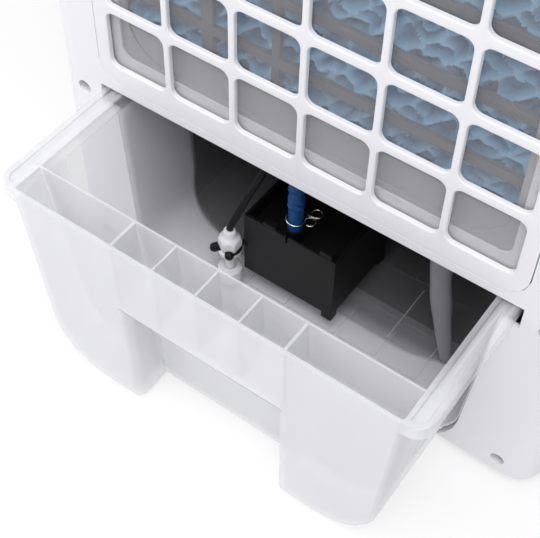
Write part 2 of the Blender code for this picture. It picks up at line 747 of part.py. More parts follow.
def outlet_hose():
    """Blue hose on the pump's spigot: a ribbed cuff with its bore, then a plain riser to the distributor."""
    low = PUMP_TOP - 0.0008 + GAP
    high = 0.136
    bore = 0.0030
    radius = 0.0042
    ribs = 8
    first_rib = low + 0.012
    rib_pitch = (high - 0.004 - first_rib) / ribs
    outer = [(radius, high)]
    for index in reversed(range(ribs)):
        middle = first_rib + (index + 0.5) * rib_pitch
        outer.append((radius, middle + 0.0024))
        outer.append((radius + 0.0009, middle + 0.0012))
        outer.append((radius + 0.0009, middle - 0.0012))
        outer.append((radius, middle - 0.0024))
    outer.append((radius, low))
    profile = [*outer, (bore, low), (bore, high)]
    part(turned("outlet_hose", profile, True, 14, Matrix.Translation((HOSE_X, HOSE_Y, 0))), "hose_blue")

    top = 0.5665
    bend = 0.0085
    route = [(HOSE_X, HOSE_Y, high + GAP), (HOSE_X, HOSE_Y, top - bend)]
    for step in range(1, 7):
        angle = math.pi / 2 * step / 6
        route.append((HOSE_X, HOSE_Y - bend * (1 - math.cos(angle)), top - bend + bend * math.sin(angle)))
    route.append((HOSE_X, Y_REAR + 0.0240 + GAP, top))
    part(tube("riser_pipe", route, 0.0040, 2), "hose_blue")


def hose_clamp():
    """Spring wire clamp round the hose: one wire, most of a turn, with an eye bent outwards at each end."""
    wire = 0.00055
    ring = 0.0042 + wire + GAP
    eye = 0.0026
    height = 0.0735
    open_angle = math.radians(62)
    facing = math.radians(34)
    centre = Vector((HOSE_X, HOSE_Y, height))
    first = facing + open_angle / 2
    last = facing - open_angle / 2 + 2 * math.pi
    eye_sweep = math.radians(280)

    def eye_points(angle, turn):
        """Eye that leaves the ring on its tangent and curls the other way."""
        middle = centre + (ring + eye) * Vector((math.cos(angle), math.sin(angle), 0))
        points = []
        for step in range(1, 15):
            around = angle + math.pi + turn * eye_sweep * step / 14
            lift = 0.0016 * math.sin(eye_sweep * step / 14 / 2)
            points.append(middle + Vector((eye * math.cos(around), eye * math.sin(around), lift)))
        return points

    turn_points = []
    for step in range(25):
        angle = first + (last - first) * step / 24
        turn_points.append(centre + ring * Vector((math.cos(angle), math.sin(angle), 0)))
    route = [*reversed(eye_points(first, 1)), *turn_points, *eye_points(last, -1)]
    skip = 5
    gap = min(
        (a - b).length for i, a in enumerate(route) for b in route[i + skip:]
    ) - 2 * wire
    print(f"hose clamp: least gap of the wire to itself {gap * 1000:.2f} mm")
    part(tube("hose_clamp", route, wire, 1), "steel")


def level_sensor():
    """Float level sensor beside the pump: stem with a gland nut, ring float that rides on it, clip and lead."""
    floor = TANK_BOTTOM + THIN + 0.0030
    place = Matrix.Translation((SENSOR_X, SENSOR_Y, 0))
    stem = [
        (0, 0.0588), (0.0036, 0.0588), (0.0040, 0.0548), (0.0042, 0.0533), (0.0062, 0.0518), (0.0066, 0.0505),
        (0.0066, 0.0450), (0.0054, 0.0440), (0.0054, 0.0400), (0.0070, 0.0390), (0.0070, 0.0355), (0.0030, 0.0345),
        (0.0030, floor + 0.0012), (0.0050, floor + 0.0012), (0.0050, floor), (0, floor),
    ]
    part(turned("sensor_stem", stem, False, 16, place), "white_plastic")
    float_low = floor + 0.0016
    float_high = float_low + 0.012
    ring = [
        (0.0062, float_high), (0.0074, float_high - 0.0012), (0.0074, float_low + 0.0012), (0.0062, float_low),
        (0.0034, float_low), (0.0034, float_high),
    ]
    part(turned("level_float", ring, True, 16, place), "white_plastic")

    collar = plate(
        "sensor_clip",
        [circle(SENSOR_X, SENSOR_Y, 0.0072, 20), circle(SENSOR_X, SENSOR_Y, 0.0058, 20)],
        0.0405,
        0.0432,
        "XY",
    )
    join(collar, block("arm", (SENSOR_X + 0.0030, SENSOR_Y + 0.0050, 0.0405), (PUMP_LEFT - GAP, SENSOR_Y + 0.016, 0.0432)))
    for side_x, side_y in ((-0.825, -0.565), (0.565, -0.825)):
        ear = Matrix.Translation((SENSOR_X + 0.0078 * side_x, SENSOR_Y + 0.0078 * side_y, 0.0402))
        join(collar, disc("ear", 0.0019, 0.0033, ear, 12))
    part(collar, "black_plastic")

    lead_top = TANK_RIM + 0.003 - 0.0014
    lead = [
        (SENSOR_X, SENSOR_Y, 0.0590 + GAP),
        (SENSOR_X, SENSOR_Y, 0.0622),
        (SENSOR_X + 0.0020, SENSOR_Y + 0.0014, 0.0675),
        (SENSOR_X + 0.0070, SENSOR_Y + 0.0050, 0.080),
        (SENSOR_X + 0.0140, SENSOR_Y + 0.0103, 0.101),
        (SENSOR_X + 0.0160, SENSOR_Y + 0.0240, 0.122),
        (SENSOR_X + 0.0160, SENSOR_Y + 0.0505, 0.1345),
        (SENSOR_X + 0.0160, SENSOR_Y + 0.054, lead_top),
    ]
    part(tube("sensor_lead", smooth_route(lead, 4), 0.0021, 2), "black_plastic")


def return_hose():
    """Soft grey hose that drains the drip tray into the tank."""
    route = [
        (0.0705, Y_REAR + 0.0375, 0.150 - GAP),
        (0.0702, Y_REAR + 0.0370, 0.132),
        (0.0696, Y_REAR + 0.0365, 0.095),
        (0.0735, Y_REAR + 0.0400, 0.056),
        (0.0785, Y_REAR + 0.0420, 0.027),
        (0.0812, Y_REAR + 0.0420, 0.0135),
    ]
    part(tube("return_hose", smooth_route(route, 3), 0.0052, 3), "hose_grey")


def volute(grow, top):
    """XZ outline of the blower's scroll: a spiral that widens evenly, then a straight throat to the top."""
    start = math.radians(60)
    sweep = math.radians(240)
    smallest = 0.092 + grow
    widest = 0.136 + grow
    points = []
    steps = 30
    for step in range(steps + 1):
        share = step / steps
        angle = start - sweep * share
        radius = smallest + (widest - smallest) * share
        points.append((FAN_X + radius * math.cos(angle), FAN_HEIGHT + radius * math.sin(angle)))
    points.append((points[-1][0], top))
    points.append((points[0][0], top))
    return points


def blower():
    """Scroll housing, inlet plate, blower wheel on its shaft, motor and its bracket, and the outlet duct."""
    y_inlet = Y_REAR + 0.045
    y_scroll = y_inlet + 0.003
    y_wall = Y_REAR + 0.122
    throat_top = 0.4365
    scroll = plate("scroll_housing", [volute(0.0025, throat_top)], y_scroll, y_wall)
    cut(scroll, plate("scroll_inside", [volute(0.0, throat_top + 0.01)], y_scroll - 0.01, y_wall - 0.0025))
    cut(scroll, disc("shaft_hole", 0.014, 0.05, along_y(FAN_X, y_wall - 0.02, FAN_HEIGHT), 20))
    part(scroll, "grey_plastic")
    inlet_loops = [volute(0.0025, throat_top), circle(FAN_X, FAN_HEIGHT, WHEEL_RADIUS - 0.017, 32)]
    part(plate("inlet_plate", inlet_loops, y_inlet, y_scroll - GAP), "grey_plastic")

    y_ring = Y_REAR + 0.052
    y_disc = Y_REAR + 0.110
    hub = 0.0120
    bore = 0.0043
    profile = [
        (WHEEL_RADIUS, 0.0025), (WHEEL_RADIUS, 0), (hub, 0), (hub, -0.014), (bore, -0.014), (bore, 0.0025),
    ]
    wheel = turned("blower_wheel", profile, True, 32, along_y(FAN_X, y_disc, FAN_HEIGHT))
    blades = []
    for index in range(WHEEL_BLADES):
        blade = block("blade", (-0.0008, y_ring + 0.001, -0.010), (0.0008, y_disc + 0.001, 0.009))
        around = Matrix.Rotation(2 * math.pi * index / WHEEL_BLADES, 4, "Y")
        twist = Matrix.Translation((0, 0, WHEEL_RADIUS - 0.0105)) @ Matrix.Rotation(math.radians(32), 4, "Y")
        blade.data.transform(Matrix.Translation((FAN_X, 0, FAN_HEIGHT)) @ around @ twist)
        blades.append(blade)
    join(wheel, merged("blades", blades))
    rim = [(WHEEL_RADIUS, 0.003), (WHEEL_RADIUS, 0), (0.068, 0), (0.068, 0.003)]
    join(wheel, turned("wheel_rim", rim, True, 32, along_y(FAN_X, y_ring, FAN_HEIGHT)))
    part(wheel, "charcoal_plastic")
    part(disc("fan_shaft", 0.0040, 0.046, along_y(FAN_X, Y_REAR + 0.098, FAN_HEIGHT), 14), "steel")

    y_plate = y_wall + GAP
    lobes = [
        (FAN_X + 0.078 * math.cos(math.radians(90 + 120 * k)), FAN_HEIGHT + 0.078 * math.sin(math.radians(90 + 120 * k)), 0.012)
        for k in range(3)
    ]
    bracket = plate("motor_bracket", [rounded(lobes, 4), circle(FAN_X, FAN_HEIGHT, 0.014, 20)], y_plate, y_plate + 0.003)
    part(bracket, "steel")
    y_motor = y_plate + 0.003 + GAP
    can = [
        (0.0060, 0.056), (0.0340, 0.056), (0.0385, 0.050), (0.0385, 0.006), (0.0340, 0), (0.0046, 0), (0.0046, 0.024),
        (0.0060, 0.024),
    ]
    motor = turned("fan_motor", can, True, 24, along_y(FAN_X, y_motor, FAN_HEIGHT))
    part(motor, "grey_plastic")


def outlet_duct():
    """Duct from the scroll's throat to the louvres, open at the front, with pivot holes for the vanes."""
    low = 0.437
    high = 0.607
    y_back = Y_REAR + 0.047
    y_open = Y_FRONT - 0.0333
    wall = 0.0025
    half = 0.119
    duct = block("outlet_duct", (-half, y_back, low), (half, y_open, high))
    cut(duct, block("duct_inside", (-half + wall, y_back + wall, low + wall), (half - wall, y_open + 0.01, high - wall)))
    cut(duct, block("throat", (-0.110, y_back + 0.006, low - 0.01), (0.064, Y_REAR + 0.118, low + 0.01)))
    y_axis = Y_FRONT - 0.058
    places = [(index - (VANES - 1) / 2) * VANE_PITCH for index in range(VANES)]
    pivots = []
    for x in places:
        for z in (low, high - wall):
            pivots.append(disc("pivot", 0.0019, 0.02, Matrix.Translation((x, y_axis, z - 0.008)), 8))
    cut(duct, merged("vane_pivots", pivots))
    part(duct, "grey_plastic")

    vane_low = low + wall + 0.006
    vane_high = high - wall - 0.006
    chord = 0.034
    for index, x in enumerate(places):
        outline = rounded([(-0.0011, -chord / 2, 0), (0.0011, -chord / 2, 0), (0.0016, 0, 0), (0.0006, chord / 2, 0),
                           (-0.0006, chord / 2, 0), (-0.0016, 0, 0)])
        vane = plate(f"vane_{index + 1}", [outline], vane_low, vane_high, "XY")
        pin = disc("pin", 0.0015, vane_high - vane_low + 0.0156, Matrix.Translation((0, 0, vane_low - 0.0078)), 8)
        join(vane, pin)
        vane.location = (x, y_axis, 0)
        vane.modifiers[0].object.location = (x, y_axis, 0)
        part(vane, "grey_plastic")


def louvres():
    """Outlet frame with pivot holes, and the tilting louvre blades with their pins."""
    y_back = Y_FRONT - 0.033
    half = OUTLET_HALF - 0.0004
    inner_half = 0.105
    outer = rectangle(-half, half, OUTLET_LOW + 0.0004, OUTLET_HIGH - 0.0004, 0.0096)
    inner = rectangle(-inner_half, inner_half, OUTLET_LOW + 0.007, OUTLET_HIGH - 0.007, 0.004)
    frame = plate("outlet_frame", [outer, inner], y_back, Y_FRONT - 0.0003)
    y_axis = Y_FRONT - 0.018
    places = [LOUVRE_LOWEST + index * LOUVRE_PITCH for index in range(LOUVRES)]
    bores = []
    for z in places:
        for x in (-0.110, 0.1045):
            bore = disc("bore", 0.0021, 0.0055, Matrix.Rotation(math.pi / 2, 4, "Y"), 8)
            bore.data.transform(Matrix.Translation((x, y_axis, z)))
            bores.append(bore)
    cut(frame, merged("louvre_bores", bores))
    part(frame, "grey_plastic")
    chord = 0.024
    for index, z in enumerate(places):
        outline = rounded([(-chord / 2, -0.0008, 0), (0, -0.0019, 0), (chord / 2, -0.0012, 0), (chord / 2, 0.0012, 0),
                           (0, 0.0019, 0), (-chord / 2, 0.0008, 0)])
        blade = plate(f"louvre_{index + 1}", [outline], -0.1045, 0.1045, "YZ")
        pin = disc("pin", 0.0017, 0.218, Matrix.Translation((-0.109, 0, 0)) @ Matrix.Rotation(math.pi / 2, 4, "Y"), 8)
        join(blade, pin)
        blade.location = (0, y_axis, z)
        blade.modifiers[0].object.location = (0, y_axis, z)
        part(blade, "white_plastic")


def build():
    rear_shell()
    front_shell()
    top_cover()
    controls()
    base_pan()
    feet()
    rear_grille()
    cooling_pad()
    water_tank()
    pump()
    outlet_hose()
    hose_clamp()
    level_sensor()
    return_hose()
    blower()
    outlet_duct()
    louvres()


build()
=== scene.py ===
import math

import bmesh
import bpy
import numpy as np
from bpy.props import FloatProperty, FloatVectorProperty, IntProperty, PointerProperty
from bpy.types import Operator, Panel, PropertyGroup
from mathutils import Matrix, Vector


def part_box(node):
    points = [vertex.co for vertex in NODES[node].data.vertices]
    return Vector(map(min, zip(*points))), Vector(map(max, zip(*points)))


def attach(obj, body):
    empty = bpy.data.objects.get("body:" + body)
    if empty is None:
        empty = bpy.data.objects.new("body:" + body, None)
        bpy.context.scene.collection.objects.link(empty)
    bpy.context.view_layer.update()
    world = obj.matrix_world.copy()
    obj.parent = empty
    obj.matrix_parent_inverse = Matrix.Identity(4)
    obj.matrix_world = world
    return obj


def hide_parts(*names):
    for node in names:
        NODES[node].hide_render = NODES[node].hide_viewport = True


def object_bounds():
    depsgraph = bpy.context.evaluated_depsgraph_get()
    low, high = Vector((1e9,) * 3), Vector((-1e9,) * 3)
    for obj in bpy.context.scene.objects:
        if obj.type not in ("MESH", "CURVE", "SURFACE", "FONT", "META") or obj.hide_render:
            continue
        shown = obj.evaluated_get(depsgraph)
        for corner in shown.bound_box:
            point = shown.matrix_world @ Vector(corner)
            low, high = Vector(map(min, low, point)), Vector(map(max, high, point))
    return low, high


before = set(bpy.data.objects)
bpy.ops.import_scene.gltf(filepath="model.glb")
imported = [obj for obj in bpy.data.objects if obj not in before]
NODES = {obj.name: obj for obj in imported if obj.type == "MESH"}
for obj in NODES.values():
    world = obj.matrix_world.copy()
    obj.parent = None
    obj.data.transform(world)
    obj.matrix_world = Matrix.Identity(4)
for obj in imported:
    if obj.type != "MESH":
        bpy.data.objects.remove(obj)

bl_info = {
    "name": "Evaporative Cooler Finish",
    "version": (1, 0, 0),
    "blender": (4, 5, 0),
    "location": "View3D > Sidebar > Cooler",
    "description": "Detailed pieces and finishes for an evaporative cooler with its tank pulled out",
    "category": "Object",
}

CAD_BOX = [list(corner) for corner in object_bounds()]
GRILLE_LOW, GRILLE_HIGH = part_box("rear_grille")
PAD_LOW, PAD_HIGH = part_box("cooling_pad")
PAD_FRAME_LOW, PAD_FRAME_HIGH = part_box("pad_frame")
NET_LOW, NET_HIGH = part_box("mesh_filter")
HOSE_LOW, HOSE_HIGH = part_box("outlet_hose")
STEM_LOW, STEM_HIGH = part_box("sensor_stem")
TANK_LOW, TANK_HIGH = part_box("water_tank")
Y_REAR = GRILLE_LOW.y
HOSE_X, HOSE_Y = (HOSE_LOW.x + HOSE_HIGH.x) / 2, (HOSE_LOW.y + HOSE_HIGH.y) / 2
STEM_X, STEM_Y = (STEM_LOW.x + STEM_HIGH.x) / 2, (STEM_LOW.y + STEM_HIGH.y) / 2
HOSE_RADIUS = 0.0044

# Borders behind the net. Outer and inner loop: insets from the net's sides, foot and top, and the corner radius.
# Then how far the front and the back stand behind the net.
NET_BORDERS = {
    "net_rim": ((0.0005, 0.0005, 0.0005, 0.011), (0.0090, 0.0135, 0.0090, 0.007), (0.0003, 0.0018)),
    "net_backing": ((0.0050, 0.0125, 0.0060, 0.010), (0.0130, 0.0165, 0.0130, 0.024), (0.0021, 0.0034)),
}
# Strips on the bay's floor: low and high X, near and far end behind the rear face, height
BAY_STRIPS = {
    # Painted shade: the first strip is a grey sheet on the sleeve's floor where the housing's edge shades it
    "sleeve_floor": (-0.030, 0.084, 0.0405, 0.0625, 0.0028),
    "bay_rib_1": (0.0427, 0.0433, 0.0412, 0.0850, 0.0031),
    "bay_rib_2": (0.0712, 0.0718, 0.0412, 0.0620, 0.0031),
}
# Drain hose from its upper to its lower end: X, distance behind the rear face, height
DRAIN_POINTS = (
    (0.0705, 0.0375, 0.1497), (0.0702, 0.0370, 0.132), (0.0696, 0.0365, 0.095),
    (0.0735, 0.0400, 0.056), (0.0785, 0.0420, 0.027), (0.0812, 0.0420, 0.0135),
)
# Sensor lead from the nut up to just under the pump hanger's bar: X and Y from the stem's axis, height
LEAD_POINTS = (
    (0.0, 0.0, 0.0553), (0.0004, 0.0006, 0.0580), (0.0024, 0.0030, 0.0650), (0.0070, 0.0080, 0.080),
    (0.0130, 0.0150, 0.100), (0.0160, 0.0270, 0.122), (0.0160, 0.0505, 0.1345), (0.0160, 0.0540, 0.1426),
)
# Finishes: colour (a property's name or fixed), tint (a share of the colour or fixed), the surface's roughness,
# unevenness, cloud scale, grain scale and grain depth, and values of the shader's own sockets
FINISHES = {
    "white_plastic": ("white", 0.97, (0.52, 0.08, 9.0, 1400.0, 0.05), {"Specular IOR Level": 0.35}),
    "tank_plastic": ("tank", 0.985, (0.45, 0.08, 14.0, 700.0, 0.04), {}),
    "grey_plastic": ("frame_grey", 0.82, (0.55, 0.15, 30.0, 1100.0, 0.15), {}),
    "rim": ((0.97, 0.965, 0.99), (0.93, 0.925, 0.95), (0.6, 0.1, 30.0, 1200.0, 0.08), {"Specular IOR Level": 0.35}),
    "backing": ((0.52, 0.51, 0.54), (0.47, 0.46, 0.49), (0.6, 0.12, 40.0, 1200.0, 0.1), {}),
    "charcoal_plastic": ("charcoal", 0.75, (0.55, 0.15, 22.0, 1200.0, 0.2), {"Specular IOR Level": 0.25}),
    "black_plastic": ("black", 0.8, (0.50, 0.12, 26.0, 1300.0, 0.22), {"Specular IOR Level": 0.25}),
    "blue_rubber": ("hose_blue", 0.8, (0.45, 0.12, 60.0, 1500.0, 0.15), {"Specular IOR Level": 0.3}),
    "grey_tube": ("hose_grey", 0.85, (0.32, 0.1, 45.0, 900.0, 0.05), {"Alpha": 0.85}),
    "bright_steel": ("steel", 0.85, (0.22, 0.12, 90.0, 2500.0, 0.08), {"Metallic": 1.0}),
    "dull_steel": ((0.16, 0.16, 0.17), (0.12, 0.12, 0.13), (0.5, 0.12, 90.0, 2500.0, 0.08), {"Metallic": 0.6}),
    "rubber": ((0.02, 0.02, 0.02), (0.03, 0.03, 0.03), (0.78, 0.1, 40.0, 1200.0, 0.3), {}),
    "panel": ((0.018, 0.018, 0.02), (0.024, 0.024, 0.027), (0.16, 0.06, 12.0, 1500.0, 0.02), {"Coat Weight": 0.4}),
}


def metres(name, description, default):
    """Length in metres that a user may change."""
    return FloatProperty(name=name, description=description, default=default, unit="LENGTH")


def paint(name, description, default):
    """Linear colour that a user may change."""
    return FloatVectorProperty(name=name, description=description, default=default, subtype="COLOR")


class CoolerSizes(PropertyGroup):
    """Sizes of the detail that the finish adds to the solids"""

    window_pitch: metres("Window pitch", "Distance between grille windows", 0.040)
    window_columns: IntProperty(name="Window columns", description="Windows across the grille", default=6)
    window_rows: IntProperty(name="Window rows", description="Windows up the grille", default=10)
    window_half_width: metres("Window half width", "Half the clear width of a window", 0.0181)
    window_half_height: metres("Window half height", "Half the clear height of a window", 0.0173)
    window_corner: metres("Window corner", "Corner radius of a window", 0.0048)
    lowest_window: metres("Lowest window", "Height of the lowest row's centres", 0.178)
    bar_round: metres("Bar rounding", "Edge radius of the grille's bars", 0.0009)
    edge_round: metres("Edge rounding", "Edge radius of moulded pieces", 0.0004)
    sheet_pitch: metres("Sheet pitch", "Distance between the pad's wavy sheets", 0.0085)
    wave_length: metres("Wave length", "Length of one wave of a pad sheet", 0.016)
    net_pitch: metres("Net pitch", "Distance between the threads of the net", 0.0005)


class CoolerColours(PropertyGroup):
    """Colours of the finishes, linear"""

    white: paint("Housing white", "Moulded housing and grille", (0.82, 0.812, 0.855))
    tank: paint("Tank", "Milky plastic of the tank", (0.90, 0.90, 0.925))
    pad_light: paint("Pad edge", "Front edges of the pad's sheets", (0.36, 0.69, 0.98))
    # Painted shade: the colour that the pad's depths are darkened to
    pad_depth_shade: paint("Pad depth", "Depth between the pad's sheets", (0.14, 0.34, 0.56))
    frame_grey: paint("Pad frame", "Pad frame, ducts and vanes", (0.16, 0.15, 0.17))
    net_grey: paint("Net", "Threads of the net", (0.38, 0.38, 0.40))
    charcoal: paint("Charcoal", "Bay and blower", (0.022, 0.022, 0.026))
    black: paint("Black", "Pump and lead", (0.006, 0.006, 0.007))
    hose_blue: paint("Blue hose", "Pump hose", (0.004, 0.072, 0.26))
    hose_grey: paint("Grey hose", "Drain hose", (0.29, 0.29, 0.31))
    steel: paint("Steel", "Clamp, shaft and motor bracket", (0.66, 0.66, 0.66))


class CoolerStage(PropertyGroup):
    """Camera and light"""

    lens: FloatProperty(name="Lens", description="Focal length in millimetres on a 36 mm frame", default=77.12)
    azimuth: FloatProperty(
        name="Azimuth", description="Camera's turn about the vertical", subtype="ANGLE", default=math.radians(34.42))
    elevation: FloatProperty(
        name="Elevation", description="Camera's height angle", subtype="ANGLE", default=math.radians(51.36))
    roll: FloatProperty(
        name="Roll", description="Lean of the picture", subtype="ANGLE", default=math.radians(1.605))
    camera_place: FloatVectorProperty(
        name="Camera place", description="Camera position", subtype="TRANSLATION", default=(0.2111, -0.4371, 0.5663))
    key_power: FloatProperty(name="Key lamp", description="Large lamp above, in watts", default=194.0, unit="POWER")
    fill_power: FloatProperty(name="Fill lamp", description="Lamp from the left, in watts", default=6.5, unit="POWER")
    sky: FloatProperty(name="Sky", description="Strength of the even light all round", default=0.40)


def sizes():
    return bpy.context.scene.cooler_sizes


def colours():
    return bpy.context.scene.cooler_colours


# Meshes

def shown(name, data):
    """An object at the origin for a mesh, a lamp or a camera, linked into the scene."""
    piece = bpy.data.objects.new(name, data)
    bpy.context.scene.collection.objects.link(piece)
    return piece


def mesh_piece(name, points, faces):
    """A mesh object at the origin from an (n, 3) array of points and an (m, 4) or (m, 3) array of corner numbers."""
    mesh = bpy.data.meshes.new(name)
    mesh.from_pydata(np.asarray(points, float).tolist(), [], np.asarray(faces, int).tolist())
    mesh.update()
    return shown(name, mesh)


def grid_faces(rows, columns, wrap_rows=False, wrap_columns=False):
    """Corner numbers of the quads of a grid of points, row after row, closed round where asked."""
    r = np.arange(rows if wrap_rows else rows - 1)
    c = np.arange(columns if wrap_columns else columns - 1)
    r, c = np.meshgrid(r, c, indexing="ij")
    r2 = (r + 1) % rows
    c2 = (c + 1) % columns
    quads = np.stack([r * columns + c, r * columns + c2, r2 * columns + c2, r2 * columns + c], axis=-1)
    return quads.reshape(-1, 4)


def closed_up(piece, distance=1e-6):
    """Merge doubles, close ring ends and turn every face outwards."""
    solid = bmesh.new()
    solid.from_mesh(piece.data)
    bmesh.ops.remove_doubles(solid, verts=solid.verts, dist=distance)
    bmesh.ops.dissolve_degenerate(solid, dist=1e-7, edges=solid.edges)
    rims = [edge for edge in solid.edges if edge.is_boundary]
    if rims:
        bmesh.ops.holes_fill(solid, edges=rims, sides=0)
    bmesh.ops.recalc_face_normals(solid, faces=solid.faces)
    solid.to_mesh(piece.data)
    solid.free()
    return piece


def smooth(piece, degrees=35):
    """Shade smooth, with edges over the given angle kept sharp."""
    piece.data.shade_smooth()
    piece.data.set_sharp_from_angle(angle=math.radians(degrees))
    return piece


def place(piece, material, body, slot, *nodes):
    """Give a finished piece its material and its body, and hide the nodes that it stands for. The slot is not used."""
    piece.data.materials.clear()
    piece.data.materials.append(material)
    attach(piece, body)
    if nodes:
        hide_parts(*nodes)
    return piece


def dress(name, *nodes):
    """Give solids that stay as they are one of the finishes."""
    for node in nodes:
        NODES[node].data.materials.clear()
        NODES[node].data.materials.append(finish(name))


def softened(node, radius, segments=2, degrees=32):
    """A copy of a solid whose sharp edges are rounded by a Bevel of the given radius."""
    mesh = NODES[node].data.copy()
    solid = bmesh.new()
    solid.from_mesh(mesh)
    bmesh.ops.remove_doubles(solid, verts=solid.verts, dist=2e-6)
    bmesh.ops.dissolve_degenerate(solid, dist=1e-6, edges=solid.edges)
    bmesh.ops.dissolve_limit(solid, angle_limit=math.radians(0.4), verts=solid.verts, edges=solid.edges)
    bmesh.ops.triangulate(solid, faces=solid.faces)
    solid.to_mesh(mesh)
    solid.free()
    mesh.shade_smooth()
    piece = shown(node + "_moulded", mesh)
    bevel = piece.modifiers.new("edges", "BEVEL")
    bevel.width = radius
    bevel.segments = segments
    bevel.limit_method = "ANGLE"
    bevel.angle_limit = math.radians(degrees)
    bevel.use_clamp_overlap = False
    flats = piece.modifiers.new("flats", "WEIGHTED_NORMAL")
    flats.keep_sharp = False
    graph = bpy.context.evaluated_depsgraph_get()
    done = bpy.data.meshes.new_from_object(piece.evaluated_get(graph))
    piece.modifiers.clear()
    piece.data = done
    return piece


def ring_surface(name, profile, around, factor=None):
    """Surface of revolution: radius and height follow the profile's rows, and each ring's radius may be
    multiplied by a factor that depends on the angle, for a hexagon."""
    profile = np.asarray(profile, float)
    angle = np.linspace(0, 2 * np.pi, around, endpoint=False)
    radius = profile[:, :1] * np.ones_like(angle)
    if factor is not None:
        radius = radius * factor(angle, profile)
    points = np.stack(
        [radius * np.cos(angle), radius * np.sin(angle), profile[:, 1:2] * np.ones_like(angle)], axis=-1)
    return mesh_piece(name, points.reshape(-1, 3), grid_faces(len(profile), around, wrap_columns=True))


def joined(name, pieces):
    """One piece from several closed ones, each with its faces turned outwards first."""
    solid = bmesh.new()
    for item in pieces:
        closed_up(item)
        solid.from_mesh(item.data)
        mesh = item.data
        bpy.data.objects.remove(item)
        bpy.data.meshes.remove(mesh)
    mesh = bpy.data.meshes.new(name)
    solid.to_mesh(mesh)
    solid.free()
    return shown(name, mesh)


def shifted(piece, x, y, z=0.0):
    piece.data.transform(Matrix.Translation((x, y, z)))
    return piece


def path_frames(path):
    """Tangent, side and up of each point of a path, carried along without twist."""
    tangent = np.gradient(path, axis=0)
    tangent /= np.linalg.norm(tangent, axis=1, keepdims=True)
    start = np.array([1.0, 0.0, 0.0]) if abs(tangent[0][0]) < 0.9 else np.array([0.0, 1.0, 0.0])
    side = np.zeros_like(path)
    previous = start
    for index, direction in enumerate(tangent):
        previous = previous - direction * np.dot(previous, direction)
        previous = previous / np.linalg.norm(previous)
        side[index] = previous
    return tangent, side, np.cross(tangent, side)


def swept(name, path, radius, around=16, flat=1.0, closed=False):
    """Tube: a circle of the given radius, or one radius for each point, carried along a path. flat squeezes it."""
    path = np.asarray(path, float)
    _, side, up = path_frames(path)
    angle = np.linspace(0, 2 * np.pi, around, endpoint=False)
    radius = np.broadcast_to(np.asarray(radius, float), (len(path),))[:, None, None]
    ring = side[:, None, :] * np.cos(angle)[None, :, None] + flat * up[:, None, :] * np.sin(angle)[None, :, None]
    points = path[:, None, :] + radius * ring
    return mesh_piece(name, points.reshape(-1, 3), grid_faces(len(path), around, closed, True))


def thickened(piece, thickness):
    """Give a sheet a wall, half of it to each side."""
    wall = piece.modifiers.new("wall", "SOLIDIFY")
    wall.thickness = thickness
    wall.offset = 0.0
    return piece


def eased(share):
    """Smooth step: three times the square less twice the cube."""
    return share * share * (3 - 2 * share)


def spline(points, count):
    """Catmull-Rom curve through points, as count rows."""
    points = np.asarray(points, float)
    padded = np.vstack([2 * points[0] - points[1], points, 2 * points[-1] - points[-2]])
    t = np.linspace(0, len(points) - 1 - 1e-9, count)
    i = t.astype(int)
    u = (t - i)[:, None]
    a, b, c, d = padded[i], padded[i + 1], padded[i + 2], padded[i + 3]
    return 0.5 * (2 * b + (c - a) * u + (2 * a - 5 * b + 4 * c - d) * u ** 2 + (3 * b - a - 3 * c + d) * u ** 3)


# Shader groups

def new_group(name, inputs, outputs):
    """An empty shader group with named sockets: (name, default) in, (name, type) out."""
    group = bpy.data.node_groups.new(name, "ShaderNodeTree")
    for label, default in inputs:
        kind = "NodeSocketFloat" if isinstance(default, float) else "NodeSocketColor"
        socket = group.interface.new_socket(name=label, in_out="INPUT", socket_type=kind)
        socket.default_value = default
    for label, kind in outputs:
        group.interface.new_socket(name=label, in_out="OUTPUT", socket_type=kind)
    entry = group.nodes.new("NodeGroupInput")
    leave = group.nodes.new("NodeGroupOutput")
    return group, entry, leave


def add_node(tree, kind, values=None, **attributes):
    """A node with its attributes and socket values set."""
    node = tree.nodes.new(kind)
    for key, value in attributes.items():
        setattr(node, key, value)
    for key, value in (values or {}).items():
        node.inputs[key].default_value = value
    return node


def math_node(tree, operation, a, b):
    node = add_node(tree, "ShaderNodeMath", operation=operation)
    for socket, value in zip(node.inputs, (a, b)):
        if isinstance(value, (int, float)):
            socket.default_value = value
        else:
            tree.links.new(value, socket)
    return node.outputs[0]


